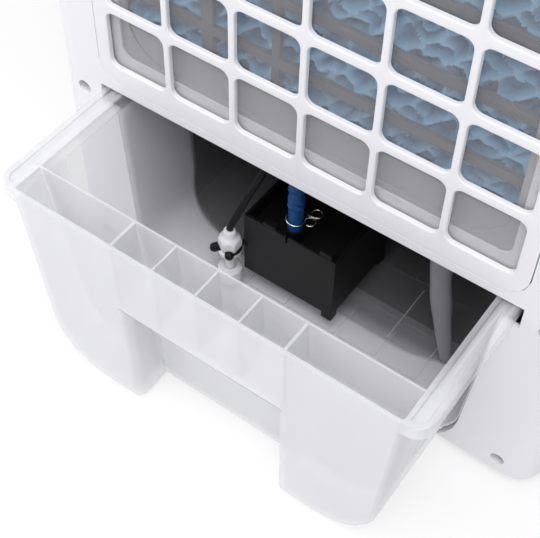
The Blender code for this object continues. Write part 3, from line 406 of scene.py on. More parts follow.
def moulded_group():
    """Moulded plastic: cloudy colour between two tints, uneven roughness and a fine grain as bump."""
    found = bpy.data.node_groups.get("Moulded Surface")
    if found:
        return found
    group, entry, leave = new_group(
        "Moulded Surface",
        [("Colour", (0.8, 0.8, 0.8, 1)), ("Tint", (0.7, 0.7, 0.7, 1)),
         ("Roughness", 0.4), ("Unevenness", 0.1),
         ("Cloud Scale", 18.0), ("Grain Scale", 900.0),
         ("Grain Depth", 0.1)],
        [("Colour", "NodeSocketColor"), ("Roughness", "NodeSocketFloat"), ("Normal", "NodeSocketVector")])
    link = group.links.new
    spot = group.nodes.new("ShaderNodeTexCoord").outputs["Object"]
    cloud = add_node(group, "ShaderNodeTexNoise", {"Detail": 3.0, "Roughness": 0.55})
    grain = add_node(group, "ShaderNodeTexNoise", {"Detail": 2.0, "Roughness": 0.5})
    for noise, socket in ((cloud, "Cloud Scale"), (grain, "Grain Scale")):
        link(spot, noise.inputs["Vector"])
        link(entry.outputs[socket], noise.inputs["Scale"])
    mix = add_node(group, "ShaderNodeMix", data_type="RGBA")
    link(cloud.outputs["Fac"], mix.inputs[0])
    link(entry.outputs["Colour"], mix.inputs[6])
    link(entry.outputs["Tint"], mix.inputs[7])
    link(mix.outputs[2], leave.inputs["Colour"])
    swing = math_node(group, "SUBTRACT", cloud.outputs["Fac"], 0.5)
    swing = math_node(group, "MULTIPLY", swing, entry.outputs["Unevenness"])
    link(math_node(group, "ADD", swing, entry.outputs["Roughness"]), leave.inputs["Roughness"])
    bump = add_node(group, "ShaderNodeBump", {"Distance": 0.0002})
    link(entry.outputs["Grain Depth"], bump.inputs["Strength"])
    link(grain.outputs["Fac"], bump.inputs["Height"])
    link(bump.outputs["Normal"], leave.inputs["Normal"])
    return group


def weave_group():
    """Net of square threads in X and Z: a mask that is 1 on the threads, from the distance to the nearest thread."""
    found = bpy.data.node_groups.get("Thread Net")
    if found:
        return found
    group, entry, leave = new_group(
        "Thread Net",
        [("Pitch", 0.001), ("Thread Share", 0.4)],
        [("Mask", "NodeSocketFloat"), ("Height", "NodeSocketFloat")])
    link = group.links.new
    spot = group.nodes.new("ShaderNodeTexCoord").outputs["Object"]
    parts = group.nodes.new("ShaderNodeSeparateXYZ")
    link(spot, parts.inputs[0])
    ridges = []
    for axis in ("X", "Z"):
        phase = math_node(group, "DIVIDE", parts.outputs[axis], entry.outputs["Pitch"])
        saw = math_node(group, "PINGPONG", phase, 0.5)
        ridges.append(math_node(group, "MULTIPLY", saw, 2.0))
    ridge = math_node(group, "MAXIMUM", *ridges)
    edge = math_node(group, "SUBTRACT", 1.0, entry.outputs["Thread Share"])
    link(math_node(group, "GREATER_THAN", ridge, edge), leave.inputs["Mask"])
    link(ridge, leave.inputs["Height"])
    return group


# Finishes

def new_material(name):
    """Material with its Principled shader ready, and a fresh tree."""
    material = bpy.data.materials.new(name)
    material.use_nodes = True
    return material, material.node_tree, material.node_tree.nodes["Principled BSDF"]


def surface_node(tree, colour, tint, roughness, unevenness=0.1, cloud=18.0, grain=900.0, depth=0.1):
    """The moulded surface group, placed in a material with its own values."""
    return add_node(tree, "ShaderNodeGroup", {
        "Colour": (*colour, 1), "Tint": (*tint, 1), "Roughness": roughness, "Unevenness": unevenness,
        "Cloud Scale": cloud, "Grain Scale": grain, "Grain Depth": depth}, node_tree=moulded_group())


def scaled(colour, factor):
    return tuple(min(1.0, value * factor) for value in colour)


def finish(name):
    """Moulded or metal material from the table of finishes, made once."""
    label = name + "_finish"
    found = bpy.data.materials.get(label)
    if found:
        return found
    colour, tint, surface_values, sockets = FINISHES[name]
    if isinstance(colour, str):
        colour = tuple(getattr(colours(), colour))
        tint = scaled(colour, tint)
    material, tree, shader = new_material(label)
    surface = surface_node(tree, colour, tint, *surface_values)
    for output, socket in (("Colour", "Base Color"), ("Roughness", "Roughness"), ("Normal", "Normal")):
        tree.links.new(surface.outputs[output], shader.inputs[socket])
    for socket, value in sockets.items():
        shader.inputs[socket].default_value = value
    return material


def tank_plastic():
    """Milky translucent plastic: each face of the wall is a thin white veil. Its cover along Y is painted light and
    shade:
    more cover at the front with its trough paints it paler, little cover behind the housing's rear face paints the wall
    in the bay darker, and the cover is higher at the rim."""
    material = finish("tank_plastic")
    tree = material.node_tree
    shader = tree.nodes["Principled BSDF"]
    if shader.inputs["Alpha"].is_linked:
        return material
    spot = tree.nodes.new("ShaderNodeTexCoord").outputs["Object"]
    parts = tree.nodes.new("ShaderNodeSeparateXYZ")
    tree.links.new(spot, parts.inputs[0])
    veils = []
    # Axis, where the veil starts and stops changing, and its cover at both places
    for axis, first, last, start, end in (
        # Painted light: more cover near the tank's front, so the front and its floor show paler
        ("Y", TANK_LOW.y + 0.018, TANK_LOW.y + 0.040, 0.50, 0.24),
        # Painted shade: the cover falls off behind the housing's rear face, so the wall in the bay shows darker
        ("Y", Y_REAR + 0.028, Y_REAR + 0.048, 0.50, 0.08),
        ("Z", TANK_HIGH.z - 0.014, TANK_HIGH.z - 0.007, 0.08, 0.30),
    ):
        veil = add_node(tree, "ShaderNodeMapRange",
                        {"From Min": first, "From Max": last, "To Min": start, "To Max": end})
        tree.links.new(parts.outputs[axis], veil.inputs["Value"])
        veils.append(veil.outputs[0])
    # Least cover of the painted light and painted shade veils along Y, but never less than the rim's cover
    depth = math_node(tree, "MINIMUM", veils[0], veils[1])
    tree.links.new(math_node(tree, "MAXIMUM", depth, veils[2]), shader.inputs["Alpha"])
    return material


def pad_paper():
    """Crinkled pad paper: pale edges, and painted shade in the depths by the stored depth, mottled by a noise."""
    material, tree, shader = new_material("pad_paper_finish")
    depth = add_node(tree, "ShaderNodeAttribute", attribute_name="cell_depth")
    light = tuple(colours().pad_light)
    surface = surface_node(tree, light, scaled(light, 0.72), 0.85, cloud=160.0, grain=1500.0, depth=0.35)
    # Painted shade: the colour darkens towards the depth colour as the stored depth grows
    mix = add_node(tree, "ShaderNodeMix", data_type="RGBA")
    tree.links.new(depth.outputs["Fac"], mix.inputs[0])
    tree.links.new(surface.outputs["Colour"], mix.inputs[6])
    mix.inputs[7].default_value = (*colours().pad_depth_shade, 1)
    tree.links.new(mix.outputs[2], shader.inputs["Base Color"])
    tree.links.new(surface.outputs["Roughness"], shader.inputs["Roughness"])
    tree.links.new(surface.outputs["Normal"], shader.inputs["Normal"])
    return material


def net_cloth():
    """Fine grey net: threads opaque, the eyes between them open."""
    material, tree, shader = new_material("net_finish")
    net = add_node(tree, "ShaderNodeGroup", {"Pitch": sizes().net_pitch, "Thread Share": 0.22}, node_tree=weave_group())
    grey = tuple(colours().net_grey)
    surface = surface_node(tree, grey, scaled(grey, 0.85), 0.75)
    bump = add_node(tree, "ShaderNodeBump", {"Distance": 0.0002, "Strength": 0.4})
    tree.links.new(net.outputs["Height"], bump.inputs["Height"])
    tree.links.new(surface.outputs["Colour"], shader.inputs["Base Color"])
    tree.links.new(surface.outputs["Roughness"], shader.inputs["Roughness"])
    tree.links.new(bump.outputs["Normal"], shader.inputs["Normal"])
    tree.links.new(net.outputs["Mask"], shader.inputs["Alpha"])
    return material


# Grille

def window_side(half_run, corner, arc_steps, run_steps):
    """One side of a round-cornered window, from the middle of one corner arc to the middle of the next.
    Gives the place along the side and how far each point stands back from it."""
    arc = np.linspace(np.pi / 4, 0, arc_steps + 1)
    first_along = -half_run + corner - corner * np.sin(arc)
    back = corner * (1 - np.cos(arc))
    run = np.linspace(-half_run + corner, half_run - corner, run_steps + 1)[1:-1]
    along = np.concatenate([first_along, run, -first_along[::-1]])
    back = np.concatenate([back, np.zeros_like(run), back[::-1]])
    return along[:-1], back[:-1]


def lattice_points():
    """Grille surface. Round every window a loop of points runs, and each point is carried out to the edge of its
    cell; across the bar the depth follows a quarter circle and then the flat front, so bars have round edges."""
    s = sizes()
    arc_steps, run_steps = 3, 5
    half = np.array([s.window_half_width, s.window_half_height])
    corner = s.window_corner
    columns, rows, pitch = s.window_columns, s.window_rows, s.window_pitch
    cx = (np.arange(columns) - (columns - 1) / 2) * pitch
    cz = s.lowest_window + np.arange(rows) * pitch
    x_edges = np.concatenate([[GRILLE_LOW.x], (cx[1:] + cx[:-1]) / 2, [GRILLE_HIGH.x]])
    z_edges = np.concatenate([[GRILLE_LOW.z], (cz[1:] + cz[:-1]) / 2, [GRILLE_HIGH.z]])
    column, row = [a.ravel() for a in np.meshgrid(np.arange(columns), np.arange(rows))]
    low = np.stack([x_edges[column], z_edges[row]], -1)
    high = np.stack([x_edges[column + 1], z_edges[row + 1]], -1)
    centre = np.stack([cx[column], cz[row]], -1)
    inner, outer = [], []
    for side in range(4):
        axis = side % 2
        sign = 1 if side in (0, 1) else -1
        along, back = window_side(half[axis], corner, arc_steps, run_steps)
        cross_sign = -1 if side in (0, 3) else 1
        ends = (low, high) if sign > 0 else (high, low)
        fixed = low if cross_sign < 0 else high
        point = np.zeros((len(column), len(along), 2))
        point[..., axis] = centre[:, None, axis] + sign * along
        point[..., 1 - axis] = centre[:, None, 1 - axis] + cross_sign * (half[1 - axis] - back)
        edge = np.zeros_like(point)
        run_start = centre[:, axis] - sign * (half[axis] - corner)
        run_end = centre[:, axis] + sign * (half[axis] - corner)
        share_in = np.linspace(0, 1, arc_steps + 1)
        spots = [
            ends[0][:, None, axis] + (run_start - ends[0][:, axis])[:, None] * share_in,
            np.linspace(run_start, run_end, run_steps + 1, axis=1)[:, 1:-1],
            (run_end[:, None] + (ends[1][:, axis] - run_end)[:, None] * share_in)[:, :-1],
        ]
        edge[..., axis] = np.concatenate(spots, axis=1)
        edge[..., 1 - axis] = fixed[:, None, 1 - axis]
        inner.append(point)
        outer.append(edge)
    inner = np.concatenate(inner, axis=1)
    outer = np.concatenate(outer, axis=1)
    return inner, rounded_panel(outer)


def rounded_panel(outer):
    """Pull points of the panel's edge onto its round corners."""
    radius = 0.014
    low = np.array([GRILLE_LOW.x, GRILLE_LOW.z]) + radius
    high = np.array([GRILLE_HIGH.x, GRILLE_HIGH.z]) - radius
    nearest = np.clip(outer, low, high)
    away = outer - nearest
    length = np.linalg.norm(away, axis=-1, keepdims=True)
    in_corner = np.all(np.abs(away) > 1e-9, axis=-1, keepdims=True)
    return np.where(in_corner, nearest + away * radius / np.maximum(length, 1e-9), outer)


def grille_piece():
    """Closed grille panel from the lattice loops: back, window wall, round edge and front, then the panel's rim."""
    inner, outer = lattice_points()
    radius = sizes().bar_round
    y_front, y_back = GRILLE_LOW.y, GRILLE_HIGH.y
    reach = np.linalg.norm(outer - inner, axis=-1, keepdims=True)
    direction = (outer - inner) / reach
    turn = np.linspace(0, np.pi / 2, 6)
    away = [reach, reach * 0]
    depth = [y_back, y_back]
    for angle in turn:
        away.append(np.minimum(radius * (1 - np.cos(angle)), reach))
        depth.append(y_front + radius * (1 - np.sin(angle)))
    away.append(reach)
    depth.append(y_front)
    rings = [inner + direction * step for step in away]
    cells, around = inner.shape[:2]
    points = np.zeros((cells, len(rings), around, 3))
    for index, (ring, y) in enumerate(zip(rings, depth)):
        points[:, index, :, 0] = ring[..., 0]
        points[:, index, :, 1] = y
        points[:, index, :, 2] = ring[..., 1]
    quads = grid_faces(len(rings), around, wrap_columns=True)
    step = len(rings) * around
    faces = (quads[None] + (np.arange(cells) * step)[:, None, None]).reshape(-1, 4)
    piece = mesh_piece("grille_panel", points.reshape(-1, 3), faces)
    solid = bmesh.new()
    solid.from_mesh(piece.data)
    bmesh.ops.remove_doubles(solid, verts=solid.verts, dist=4e-6)
    rims = [edge for edge in solid.edges if edge.is_boundary]
    bmesh.ops.bridge_loops(solid, edges=rims)
    bmesh.ops.recalc_face_normals(solid, faces=solid.faces)
    solid.to_mesh(piece.data)
    solid.free()
    return smooth(piece, 40)


class COOLER_OT_grille(Operator):
    """Build the rear grille's round-edged lattice, the net behind it and the net's borders"""

    bl_idname = "cooler.grille"
    bl_label = "Grille and Net"

    def execute(self, context):
        panel = grille_piece()
        place(panel, finish("white_plastic"), "grille", "white_plastic", "rear_grille")
        net = net_piece()
        place(net, net_cloth(), "grille", "mesh_grey", "mesh_filter")
        place(net_border("net_rim"), finish("rim"), "grille", "white_plastic")
        place(net_border("net_backing"), finish("backing"), "grille", "mesh_grey")
        return {"FINISHED"}


def net_piece():
    """Net sheet: a grid between the filter's corners that bellies inwards by a product of two sines."""
    columns, rows = 60, 100
    front_gap, belly = 0.0002, 0.0006
    u, v = np.meshgrid(np.linspace(0, 1, columns), np.linspace(0, 1, rows))
    x = NET_LOW.x + (NET_HIGH.x - NET_LOW.x) * u
    z = NET_LOW.z + (NET_HIGH.z - NET_LOW.z) * v
    y = NET_LOW.y + front_gap + belly * np.sin(np.pi * u) * np.sin(np.pi * v)
    front = np.stack([x, y, z], -1).reshape(-1, 3)
    return smooth(mesh_piece("net_sheet", front, grid_faces(rows, columns)[:, ::-1]))


def round_loop(half, low, high, radius, steps=10):
    """Closed loop of a round-cornered rectangle in X and Z, the corner arcs joined by straight runs."""
    turn = np.linspace(0, np.pi / 2, steps)
    quarter = np.stack([np.cos(turn), np.sin(turn)], -1)
    spin = np.array([[0.0, 1.0], [-1.0, 0.0]])
    corners = np.array([(half, high), (-half, high), (-half, low), (half, low)])
    inwards = np.array([(-1, -1), (1, -1), (1, 1), (-1, 1)]) * radius
    arcs = [quarter @ np.linalg.matrix_power(spin, index) * radius for index in range(4)]
    return np.concatenate([arc + corner + inward for arc, corner, inward in zip(arcs, corners, inwards)])


def net_border(name):
    """Flat frame: the outer and the inner loop at the front and the back, joined round as a four-row closed tube."""
    outline, hole, gaps = NET_BORDERS[name]
    outer, inner = [round_loop(NET_HIGH.x - side, NET_LOW.z + foot, NET_HIGH.z - top, radius)
                    for side, foot, top, radius in (outline, hole)]
    y_front, y_back = [NET_HIGH.y + gap for gap in gaps]
    rows = [(outer, y_front), (outer, y_back), (inner, y_back), (inner, y_front)]
    points = np.stack([np.stack([loop[:, 0], np.full(len(loop), y), loop[:, 1]], -1) for loop, y in rows])
    piece = mesh_piece(name, points.reshape(-1, 3), grid_faces(4, len(outer), True, True))
    return smooth(closed_up(piece), 40)


# Pad

def pad_piece():
    """Pad block. Its front is a height field: wavy sheets stand side by side, each the sine of height with its
    neighbour out of step, and the face falls back with the distance from the nearest sheet; slow noise-like sums
    of sines crumple them. The back and sides are flat."""
    s = sizes()
    nx, nz = 200, 320
    sheet_half, fall = 0.10, 0.36
    front_gap, cell_depth = 0.0004, 0.0075
    x = np.linspace(PAD_LOW.x, PAD_HIGH.x, nx)
    z = np.linspace(PAD_LOW.z, PAD_HIGH.z, nz)
    gx, gz = np.meshgrid(x, z)
    crumple = 0.0016 * np.sin(gx * 310 + 2.1 * np.sin(gz * 93)) + 0.0013 * np.sin(gz * 270 + 1.7 * np.sin(gx * 121))
    crumple += 0.0009 * np.sin(gx * 530 - gz * 410)
    lane = (gx + crumple) / s.sheet_pitch
    wave = 0.42 * np.sin(2 * np.pi * (gz + crumple) / s.wave_length + np.pi * np.floor(lane))
    spot = lane - np.floor(lane) - 0.5
    nearest = np.abs(spot - wave)
    other = np.minimum(np.abs(spot + 1 + wave), np.abs(spot - 1 + wave))
    distance = np.minimum(nearest, other)
    depth = eased(np.clip((distance - sheet_half) / fall, 0, 1))
    y = PAD_LOW.y + front_gap + cell_depth * depth
    front = np.stack([gx, y, gz], -1).reshape(-1, 3)
    number = np.arange(nx * nz).reshape(nz, nx)
    edge = np.concatenate([number[0, :-1], number[:-1, -1], number[-1, :0:-1], number[:0:-1, 0]])
    behind = front[edge] * (1, 0, 1) + (0, PAD_HIGH.y, 0)
    following = np.roll(np.arange(len(edge)), -1)
    wall = np.stack([edge, edge[following], nx * nz + following, nx * nz + np.arange(len(edge))], -1)
    piece = mesh_piece("crinkled_pad", np.vstack([front, behind]), np.vstack([grid_faces(nz, nx)[:, ::-1], wall]))
    store = piece.data.attributes.new("cell_depth", "FLOAT", "POINT")
    store.data.foreach_set("value", np.concatenate([depth.ravel(), np.ones(len(edge))]).astype(np.float32))
    return smooth(closed_up(piece), 60)


def sill_piece():
    """Sill in front of the pad frame's lower rail: a strip with a rounded top edge, its section carried along X."""
    low, high = PAD_FRAME_LOW.z + 0.0004, PAD_LOW.z + 0.0028
    lip_round, thickness, stand_off, end_gap, steps = 0.0005, 0.0007, 0.0010, 0.0006, 12
    turn = np.linspace(0, np.pi / 2, 6)
    lip = np.stack([lip_round * (1 - np.cos(turn)), high - lip_round * (1 - np.sin(turn))], -1)
    section = np.vstack([[(0.0, low)], lip, [(thickness, high), (thickness, low)]])
    x = np.linspace(PAD_FRAME_LOW.x + end_gap, PAD_FRAME_HIGH.x - end_gap, steps)[:, None]
    y = PAD_FRAME_LOW.y - stand_off + section[:, 0]
    points = np.stack(np.broadcast_arrays(x, y, section[:, 1]), -1)
    piece = mesh_piece("pad_sill", points.reshape(-1, 3), grid_faces(steps, len(section), False, True))
    return smooth(closed_up(piece), 40)


class COOLER_OT_pad(Operator):
    """Build the crinkled cooling pad and finish its frame, drip tray and distributor"""

    bl_idname = "cooler.pad"
    bl_label = "Cooling Pad"

    def execute(self, context):
        pad = pad_piece()
        place(pad, pad_paper(), "housing", "pad_blue", "cooling_pad")
        dress("grey_plastic", "pad_frame")
        place(sill_piece(), finish("backing"), "housing", "grey_plastic")
        dress("white_plastic", "drip_tray", "water_distributor")
        return {"FINISHED"}


# Housing and tank

def sleeve_liner():
    """Lining of the tank's sleeve: the opening's U section, its half width growing with height and its lower
    corners round, carried along Y; it reaches deepest at the sides and less deep along the floor."""
    corner, top, low = 0.0335, 0.1270, 0.0028
    foot_half, lean = 0.1082, 0.0702
    climb_height, flat_half, flat_fade = 0.042, 0.055, 0.030
    front, floor_reach, corner_reach, side_reach = 0.0006, 0.0400, 0.0070, 0.0095
    rows = 16
    turn = np.linspace(0, np.pi / 2, 13)
    side_z = np.linspace(top, low + corner, 12)
    side_x = foot_half + lean * side_z
    foot_x = side_x[-1] - corner * (1 - np.cos(turn))
    foot_z = low + corner * (1 - np.sin(turn))
    floor_x = np.linspace(foot_x[-1], 0, 12)
    half = np.stack([np.concatenate([side_x, foot_x[1:], floor_x[1:]]),
                     np.concatenate([side_z, foot_z[1:], np.full_like(floor_x[1:], low)])], -1)
    section = np.vstack([half, half[-2::-1] * (-1, 1)])
    climb = np.clip((section[:, 1] - low) / climb_height, 0, 1)
    spread = np.clip((np.abs(section[:, 0]) - flat_half) / flat_fade, 0, 1)
    reach = floor_reach + corner_reach * eased(spread) + side_reach * eased(climb)
    y = Y_REAR + front + np.linspace(0, 1, rows)[:, None] * (reach - front)
    points = np.stack(np.broadcast_arrays(section[:, 0], y, section[:, 1]), -1)
    liner = mesh_piece("sleeve_liner", points.reshape(-1, 3), grid_faces(rows, len(section)))
    return smooth(thickened(liner, 0.0004))


def bay_strip(name):
    """Thin strip on the bay's floor: a flat grid between its corners, made solid."""
    x_low, x_high, y_low, y_high, level = BAY_STRIPS[name]
    steps = 9
    u, v = np.meshgrid(np.linspace(0, 1, steps), np.linspace(0, 1, steps))
    x = x_low + (x_high - x_low) * u
    y = Y_REAR + y_low + (y_high - y_low) * v
    points = np.stack([x, y, np.full_like(x, level)], -1)
    return thickened(mesh_piece(name, points.reshape(-1, 3), grid_faces(steps, steps)), 0.0002)


class COOLER_OT_housing(Operator):
    """Round the edges of the housing's shells, line the tank's sleeve and finish the bay, screws and feet"""

    bl_idname = "cooler.housing"
    bl_label = "Housing"

    def execute(self, context):
        for node in ("rear_shell", "front_shell"):
            place(softened(node, sizes().edge_round), finish("white_plastic"), "housing", "white_plastic", node)
        dress("white_plastic", "top_cover")
        dress("charcoal_plastic", "base_pan")
        place(sleeve_liner(), finish("white_plastic"), "housing", "white_plastic")
        # The sleeve floor strip is grey as painted shade
        for name, coat in (("sleeve_floor", "grey_plastic"), ("bay_rib_1", "backing"), ("bay_rib_2", "backing")):
            place(bay_strip(name), finish(coat), "housing", "grey_plastic")
        dress("dull_steel", *[f"case_screw_{index}" for index in range(1, 9)])
        dress("rubber", *[f"foot_{index}" for index in range(1, 5)])
        return {"FINISHED"}


class COOLER_OT_tank(Operator):
    """Round the tank's edges and give it its milky plastic"""

    bl_idname = "cooler.tank"
    bl_label = "Water Tank"

    def execute(self, context):
        place(softened("water_tank", sizes().edge_round), tank_plastic(), "tank", "tank_plastic", "water_tank")
        return {"FINISHED"}


# Pump, hoses and sensor

def hose_profile():
    """Radius and height rows of the pump hose: a plain cuff, then a tube with pairs of round bulges."""
    low, high = HOSE_LOW.z, HOSE_HIGH.z
    bulge, spread, bore_radius = 0.0007, 0.0012, 0.0030
    height = np.linspace(low, high, 260)
    rise = height - low
    middles = np.array([0.0185, 0.0235, 0.0315, 0.0365, 0.0445, 0.0495, 0.0575])
    radius = HOSE_RADIUS + bulge * np.exp(-((rise[:, None] - middles) / spread) ** 2).sum(axis=1)
    outer = np.stack([radius, height], -1)
    bore = np.array([[bore_radius, high], [bore_radius, low]])
    return np.vstack([outer, bore, outer[:1]])


def arc_rows(middle, radius, first, sweep, count):
    """Rows of points on a level arc round a middle, from the first angle through the sweep."""
    angle = first + sweep * np.linspace(0, 1, count)
    return np.stack([middle[0] + radius * np.cos(angle), middle[1] + radius * np.sin(angle)], -1)


def clamp_path():
    """Wire of the spring clamp: an eye, most of a circle round the hose, a short straight and a second eye.
    It climbs by a smooth step along its run, so the crossing wires pass over each other."""
    wire, eye, straight = 0.0006, 0.0032, 0.0088
    foot, climb, clearance = 0.0742, 0.0028, 0.0003
    ring = HOSE_RADIUS + wire + clearance
    near, eye_turn = math.radians(24), math.radians(300)
    eye_near = np.array([math.cos(near), math.sin(near)]) * (ring + eye)
    eye_far = np.array([straight, ring + eye])
    level = np.vstack([
        arc_rows(eye_near, eye, near + math.pi, -eye_turn, 50)[:0:-1],
        arc_rows((0, 0), ring, near, -near - 1.5 * math.pi, 96),
        np.linspace((0, ring), (straight, ring), 14)[1:-1],
        arc_rows(eye_far, eye, -math.pi / 2, eye_turn, 50),
    ])
    run = np.concatenate([[0.0], np.cumsum(np.linalg.norm(np.diff(level, axis=0), axis=1))])
    height = foot + climb * eased(np.clip((run / run[-1] - 0.2) / 0.6, 0, 1))
    return np.column_stack([level[:, 0] + HOSE_X, level[:, 1] + HOSE_Y, height]), wire


def drain_shape(count=90):
    """Path and half width of the drain hose: it swells by a bell curve near its middle, narrows evenly towards its
    open end and ripples by the product of two sines."""
    path = spline(np.array(DRAIN_POINTS) + (0, Y_REAR, 0), count)
    drop = np.linspace(0, 1, count)
    swell = 0.20 * np.exp(-((drop - 0.42) / 0.26) ** 2)
    narrowing = 0.34 * np.clip(drop - 0.62, 0, 1) / 0.38
    ripple = 0.05 * np.sin(31 * drop) * np.sin(7 * drop + 1)
    return path, 0.0054 * (1 + swell - narrowing) * (1 + ripple)


class COOLER_OT_pump(Operator):
    """Finish the pump box and its hanger, and build the hoses and the wire clamp"""

    bl_idname = "cooler.pump"
    bl_label = "Pump and Hoses"

    def execute(self, context):
        place(softened("pump_housing", 0.0005), finish("black_plastic"), "housing", "black_plastic", "pump_housing")
        dress("black_plastic", "pump_motor", "pump_hanger")
        hose = shifted(ring_surface("pump_hose", hose_profile(), 40), HOSE_X, HOSE_Y)
        place(smooth(closed_up(hose), 40), finish("blue_rubber"), "housing", "hose_blue", "outlet_hose")
        dress("blue_rubber", "riser_pipe")
        path, wire = clamp_path()
        clamp = smooth(closed_up(swept("wire_clamp", path, wire, 10)), 60)
        place(clamp, finish("bright_steel"), "housing", "steel", "hose_clamp")
        drain_path, width = drain_shape()
        drain = smooth(closed_up(swept("drain_hose", drain_path, width, around=32, flat=0.72)), 60)
        place(drain, finish("grey_tube"), "housing", "hose_grey", "return_hose")
        return {"FINISHED"}


def hexagon(angle, profile):
    """Radius factor that turns the rings of the nut into a hexagon with soft corners."""
    sector = (angle + math.pi / 6) % (math.pi / 3) - math.pi / 6
    flat = math.cos(math.pi / 6) / np.cos(sector)
    nut_low, nut_high = 0.0409, 0.0473
    inside = ((profile[:, 1] > nut_low) & (profile[:, 1] < nut_high))[:, None]
    return np.where(inside, 0.10 + 0.90 * flat * 1.08, 1.0)


def gland_piece():
    """Sensor stem as a turned profile: cone top, hexagon nut, neck, collar, stem and foot."""
    low = STEM_LOW.z
    profile = [
        (0.0000, 0.0548), (0.0030, 0.0548), (0.0035, 0.0545), (0.0037, 0.0540), (0.0042, 0.0518), (0.0043, 0.0504),
        (0.0046, 0.0498), (0.0056, 0.0491), (0.0063, 0.0483), (0.0065, 0.0474), (0.0066, 0.0469), (0.0067, 0.0464),
        (0.0067, 0.0416), (0.0065, 0.0410), (0.0060, 0.0406), (0.0056, 0.0402), (0.0055, 0.0398), (0.0055, 0.0392),
        (0.0057, 0.0388), (0.0066, 0.0384), (0.0070, 0.0380), (0.0070, 0.0361), (0.0067, 0.0356), (0.0060, 0.0353),
        (0.0031, 0.0346), (0.0030, 0.0340), (0.0030, low + 0.0014), (0.0032, low + 0.0012), (0.0049, low + 0.0012),
        (0.0050, low + 0.0010), (0.0050, low), (0.0000, low),
    ]
    return ring_surface("sensor_gland", profile[::-1], 48, hexagon)


def clip_piece():
    """Black clip: an open band round the neck, a round-ended stub at each end of it, pointing outwards, and an arm
    that reaches back to the pump box."""
    level, neck, girth, end_round = 0.0397, 0.0066, 0.0028, 0.0026
    axis = np.array([STEM_X, STEM_Y, level])
    first, last = math.radians(-55.6), math.radians(214.4)
    turn = np.linspace(first, last, 40)
    band = axis + np.column_stack([neck * np.cos(turn), neck * np.sin(turn), np.zeros(40)])
    pieces = [swept("clip_band", band, 0.0009, around=10, flat=1.3)]
    for angle, reach, slope in ((first, 0.0100, -0.15), (last, 0.0118, -0.45)):
        along = np.linspace(0.0050, reach, 24)
        stub = axis + np.column_stack([along * math.cos(angle), along * math.sin(angle), slope * (along - neck)])
        share = np.clip((reach - along) / end_round, 0, 1)
        radius = girth * np.sqrt(np.maximum(1 - (1 - share) ** 2, 0.0)) + 0.00002
        pieces.append(swept("clip_stub", stub, radius, 20))
    arm = axis + spline([(0.0040, 0.0048, 0.0), (0.0048, 0.0085, 0.0010), (0.0064, 0.0120, 0.0020)], 12)
    pieces.append(swept("clip_arm", arm, 0.0014, 12))
    return joined("sensor_clip_band", pieces)


class COOLER_OT_sensor(Operator):
    """Build the level sensor's gland nut, clip and lead, and finish its float"""

    bl_idname = "cooler.sensor"
    bl_label = "Level Sensor"

    def execute(self, context):
        gland = smooth(closed_up(shifted(gland_piece(), STEM_X, STEM_Y)), 35)
        place(gland, finish("white_plastic"), "housing", "white_plastic", "sensor_stem")
        dress("white_plastic", "level_float")
        place(smooth(clip_piece(), 50), finish("black_plastic"), "housing", "black_plastic", "sensor_clip")
        lead_path = spline(np.array(LEAD_POINTS) + (STEM_X, STEM_Y, 0), 90)[::-1]
        lead = smooth(closed_up(swept("sensor_cable", lead_path, 0.0021, 16)), 60)
        place(lead, finish("black_plastic"), "housing", "black_plastic", "sensor_lead")
        return {"FINISHED"}


class COOLER_OT_mechanism(Operator):
    """Finish the blower, ducts, louvres, vanes, panel and buttons"""

    bl_idname = "cooler.mechanism"
    bl_label = "Blower and Front"

    def execute(self, context):
        dress("charcoal_plastic", "blower_wheel")
        dress("bright_steel", "fan_shaft", "motor_bracket")
        dress("grey_plastic", "scroll_housing", "inlet_plate", "fan_motor", "outlet_duct", "outlet_frame",
              *[f"vane_{index}" for index in range(1, 7)])
        dress("white_plastic", *[f"louvre_{index}" for index in range(1, 6)],
              *[f"button_{index}" for index in range(1, 5)])
        dress("panel", "control_panel")
        return {"FINISHED"}


# Stage

def aim(place_at, target):
    """Rotation that points a lamp's -Z at a target."""
    return (Vector(target) - Vector(place_at)).to_track_quat("-Z", "Y").to_euler()


def seen_share(tree):
    """Output that is 1 for camera, transmission and glossy rays and 0 for all others."""
    path = tree.nodes.new("ShaderNodeLightPath")
    seen = math_node(tree, "MAXIMUM", path.outputs["Is Camera Ray"], path.outputs["Is Transmission Ray"])
    return math_node(tree, "MAXIMUM", seen, path.outputs["Is Glossy Ray"])


def blended(tree, share, first, second, output):
    """Pass two shaders, mixed by a share, to the tree's output."""
    mix = tree.nodes.new("ShaderNodeMixShader")
    for source, socket in zip((share, first.outputs[0], second.outputs[0]), mix.inputs):
        tree.links.new(source, socket)
    tree.links.new(mix.outputs[0], tree.nodes[output].inputs["Surface"])


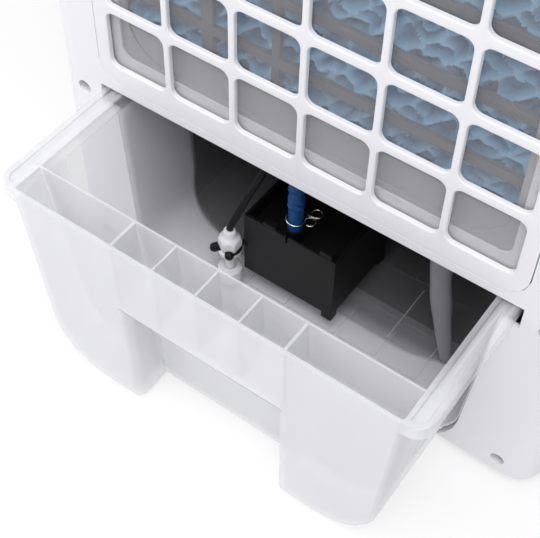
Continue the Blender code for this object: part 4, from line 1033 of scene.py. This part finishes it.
class COOLER_OT_stage(Operator):
    """Set up the camera, the lamps, the world and the pale floor"""

    bl_idname = "cooler.stage"
    bl_label = "Stage"

    def execute(self, context):
        stage = context.scene.cooler_stage
        camera = bpy.data.cameras.new("photo_camera")
        camera.sensor_fit = "HORIZONTAL"
        camera.sensor_width = 36.0
        camera.lens = stage.lens
        camera.clip_start = 0.01
        holder = shown("photo_camera", camera)
        level = math.cos(stage.elevation)
        view = Vector((-math.sin(stage.azimuth) * level, math.cos(stage.azimuth) * level, -math.sin(stage.elevation)))
        right = view.cross(Vector((0, 0, 1))).normalized()
        up = right.cross(view)
        lean_right = math.cos(stage.roll) * right + math.sin(stage.roll) * up
        lean_up = math.cos(stage.roll) * up - math.sin(stage.roll) * right
        turn = Matrix((lean_right, lean_up, -view)).transposed()
        holder.matrix_world = Matrix.Translation(stage.camera_place) @ turn.to_4x4()
        context.scene.camera = holder

        # Name, power, width, place and target of each lamp
        for name, power, size, spot, target in (
            ("key_lamp", stage.key_power, 3.2, (1.00, -2.18, 4.94), (0.0, -0.10, 0.12)),
            ("fill_lamp", stage.fill_power, 1.0, (-0.9, -1.0, 0.9), (0.0, -0.1, 0.2)),
        ):
            lamp = bpy.data.lights.new(name, "AREA")
            lamp.energy = power
            lamp.size = size
            body = shown(name, lamp)
            body.location = spot
            body.rotation_euler = aim(spot, target)

        world = bpy.data.worlds.new("studio")
        context.scene.world = world
        world.use_nodes = True
        tree = world.node_tree
        back = tree.nodes["Background"]
        back.inputs["Color"].default_value = (1, 1, 1, 1)
        back.inputs["Strength"].default_value = stage.sky
        white = add_node(tree, "ShaderNodeBackground", {"Color": (1, 1, 1, 1), "Strength": 1.0})
        blended(tree, seen_share(tree), back, white, "World Output")

        reach, glow_share = 6, 0.6
        corners = [(-reach, -reach, 0), (reach, -reach, 0), (reach, reach, 0), (-reach, reach, 0)]
        floor = mesh_piece("floor", corners, [(0, 1, 2, 3)])
        shifted(floor, 0, 0, CAD_BOX[0][2] - 0.0002)
        material, tree, shader = new_material("floor_finish")
        shader.inputs["Base Color"].default_value = (0.9, 0.9, 0.91, 1)
        shader.inputs["Roughness"].default_value = 0.7
        glow = add_node(tree, "ShaderNodeEmission", {"Color": (1, 1, 1, 1), "Strength": 1.0})
        share = math_node(tree, "MULTIPLY", seen_share(tree), glow_share)
        blended(tree, share, shader, glow, "Material Output")
        floor.data.materials.append(material)
        context.scene.view_settings.view_transform = "Standard"
        return {"FINISHED"}


class COOLER_PT_finish(Panel):
    """Sidebar panel with every step of the finish"""

    bl_label = "Cooler Finish"
    bl_space_type = "VIEW_3D"
    bl_region_type = "UI"
    bl_category = "Cooler"

    def draw(self, context):
        for step in STEPS:
            self.layout.operator(step.bl_idname)
        for group in (context.scene.cooler_sizes, context.scene.cooler_colours, context.scene.cooler_stage):
            for name in group.bl_rna.properties.keys():
                if name not in ("rna_type", "name"):
                    self.layout.prop(group, name)


STEPS = (
    COOLER_OT_stage,
    COOLER_OT_housing,
    COOLER_OT_grille,
    COOLER_OT_pad,
    COOLER_OT_tank,
    COOLER_OT_pump,
    COOLER_OT_sensor,
    COOLER_OT_mechanism,
)
CLASSES = (CoolerSizes, CoolerColours, CoolerStage, *STEPS, COOLER_PT_finish)


def register():
    for item in CLASSES:
        bpy.utils.register_class(item)
    bpy.types.Scene.cooler_sizes = PointerProperty(type=CoolerSizes)
    bpy.types.Scene.cooler_colours = PointerProperty(type=CoolerColours)
    bpy.types.Scene.cooler_stage = PointerProperty(type=CoolerStage)


def unregister():
    del bpy.types.Scene.cooler_stage
    del bpy.types.Scene.cooler_colours
    del bpy.types.Scene.cooler_sizes
    for item in reversed(CLASSES):
        bpy.utils.unregister_class(item)


def main():
    register()
    bpy.ops.cooler.stage()
    bpy.ops.cooler.housing()
    bpy.ops.cooler.grille()
    bpy.ops.cooler.pad()
    bpy.ops.cooler.tank()
    bpy.ops.cooler.pump()
    bpy.ops.cooler.sensor()
    bpy.ops.cooler.mechanism()


if __name__ == "__main__":
    main()
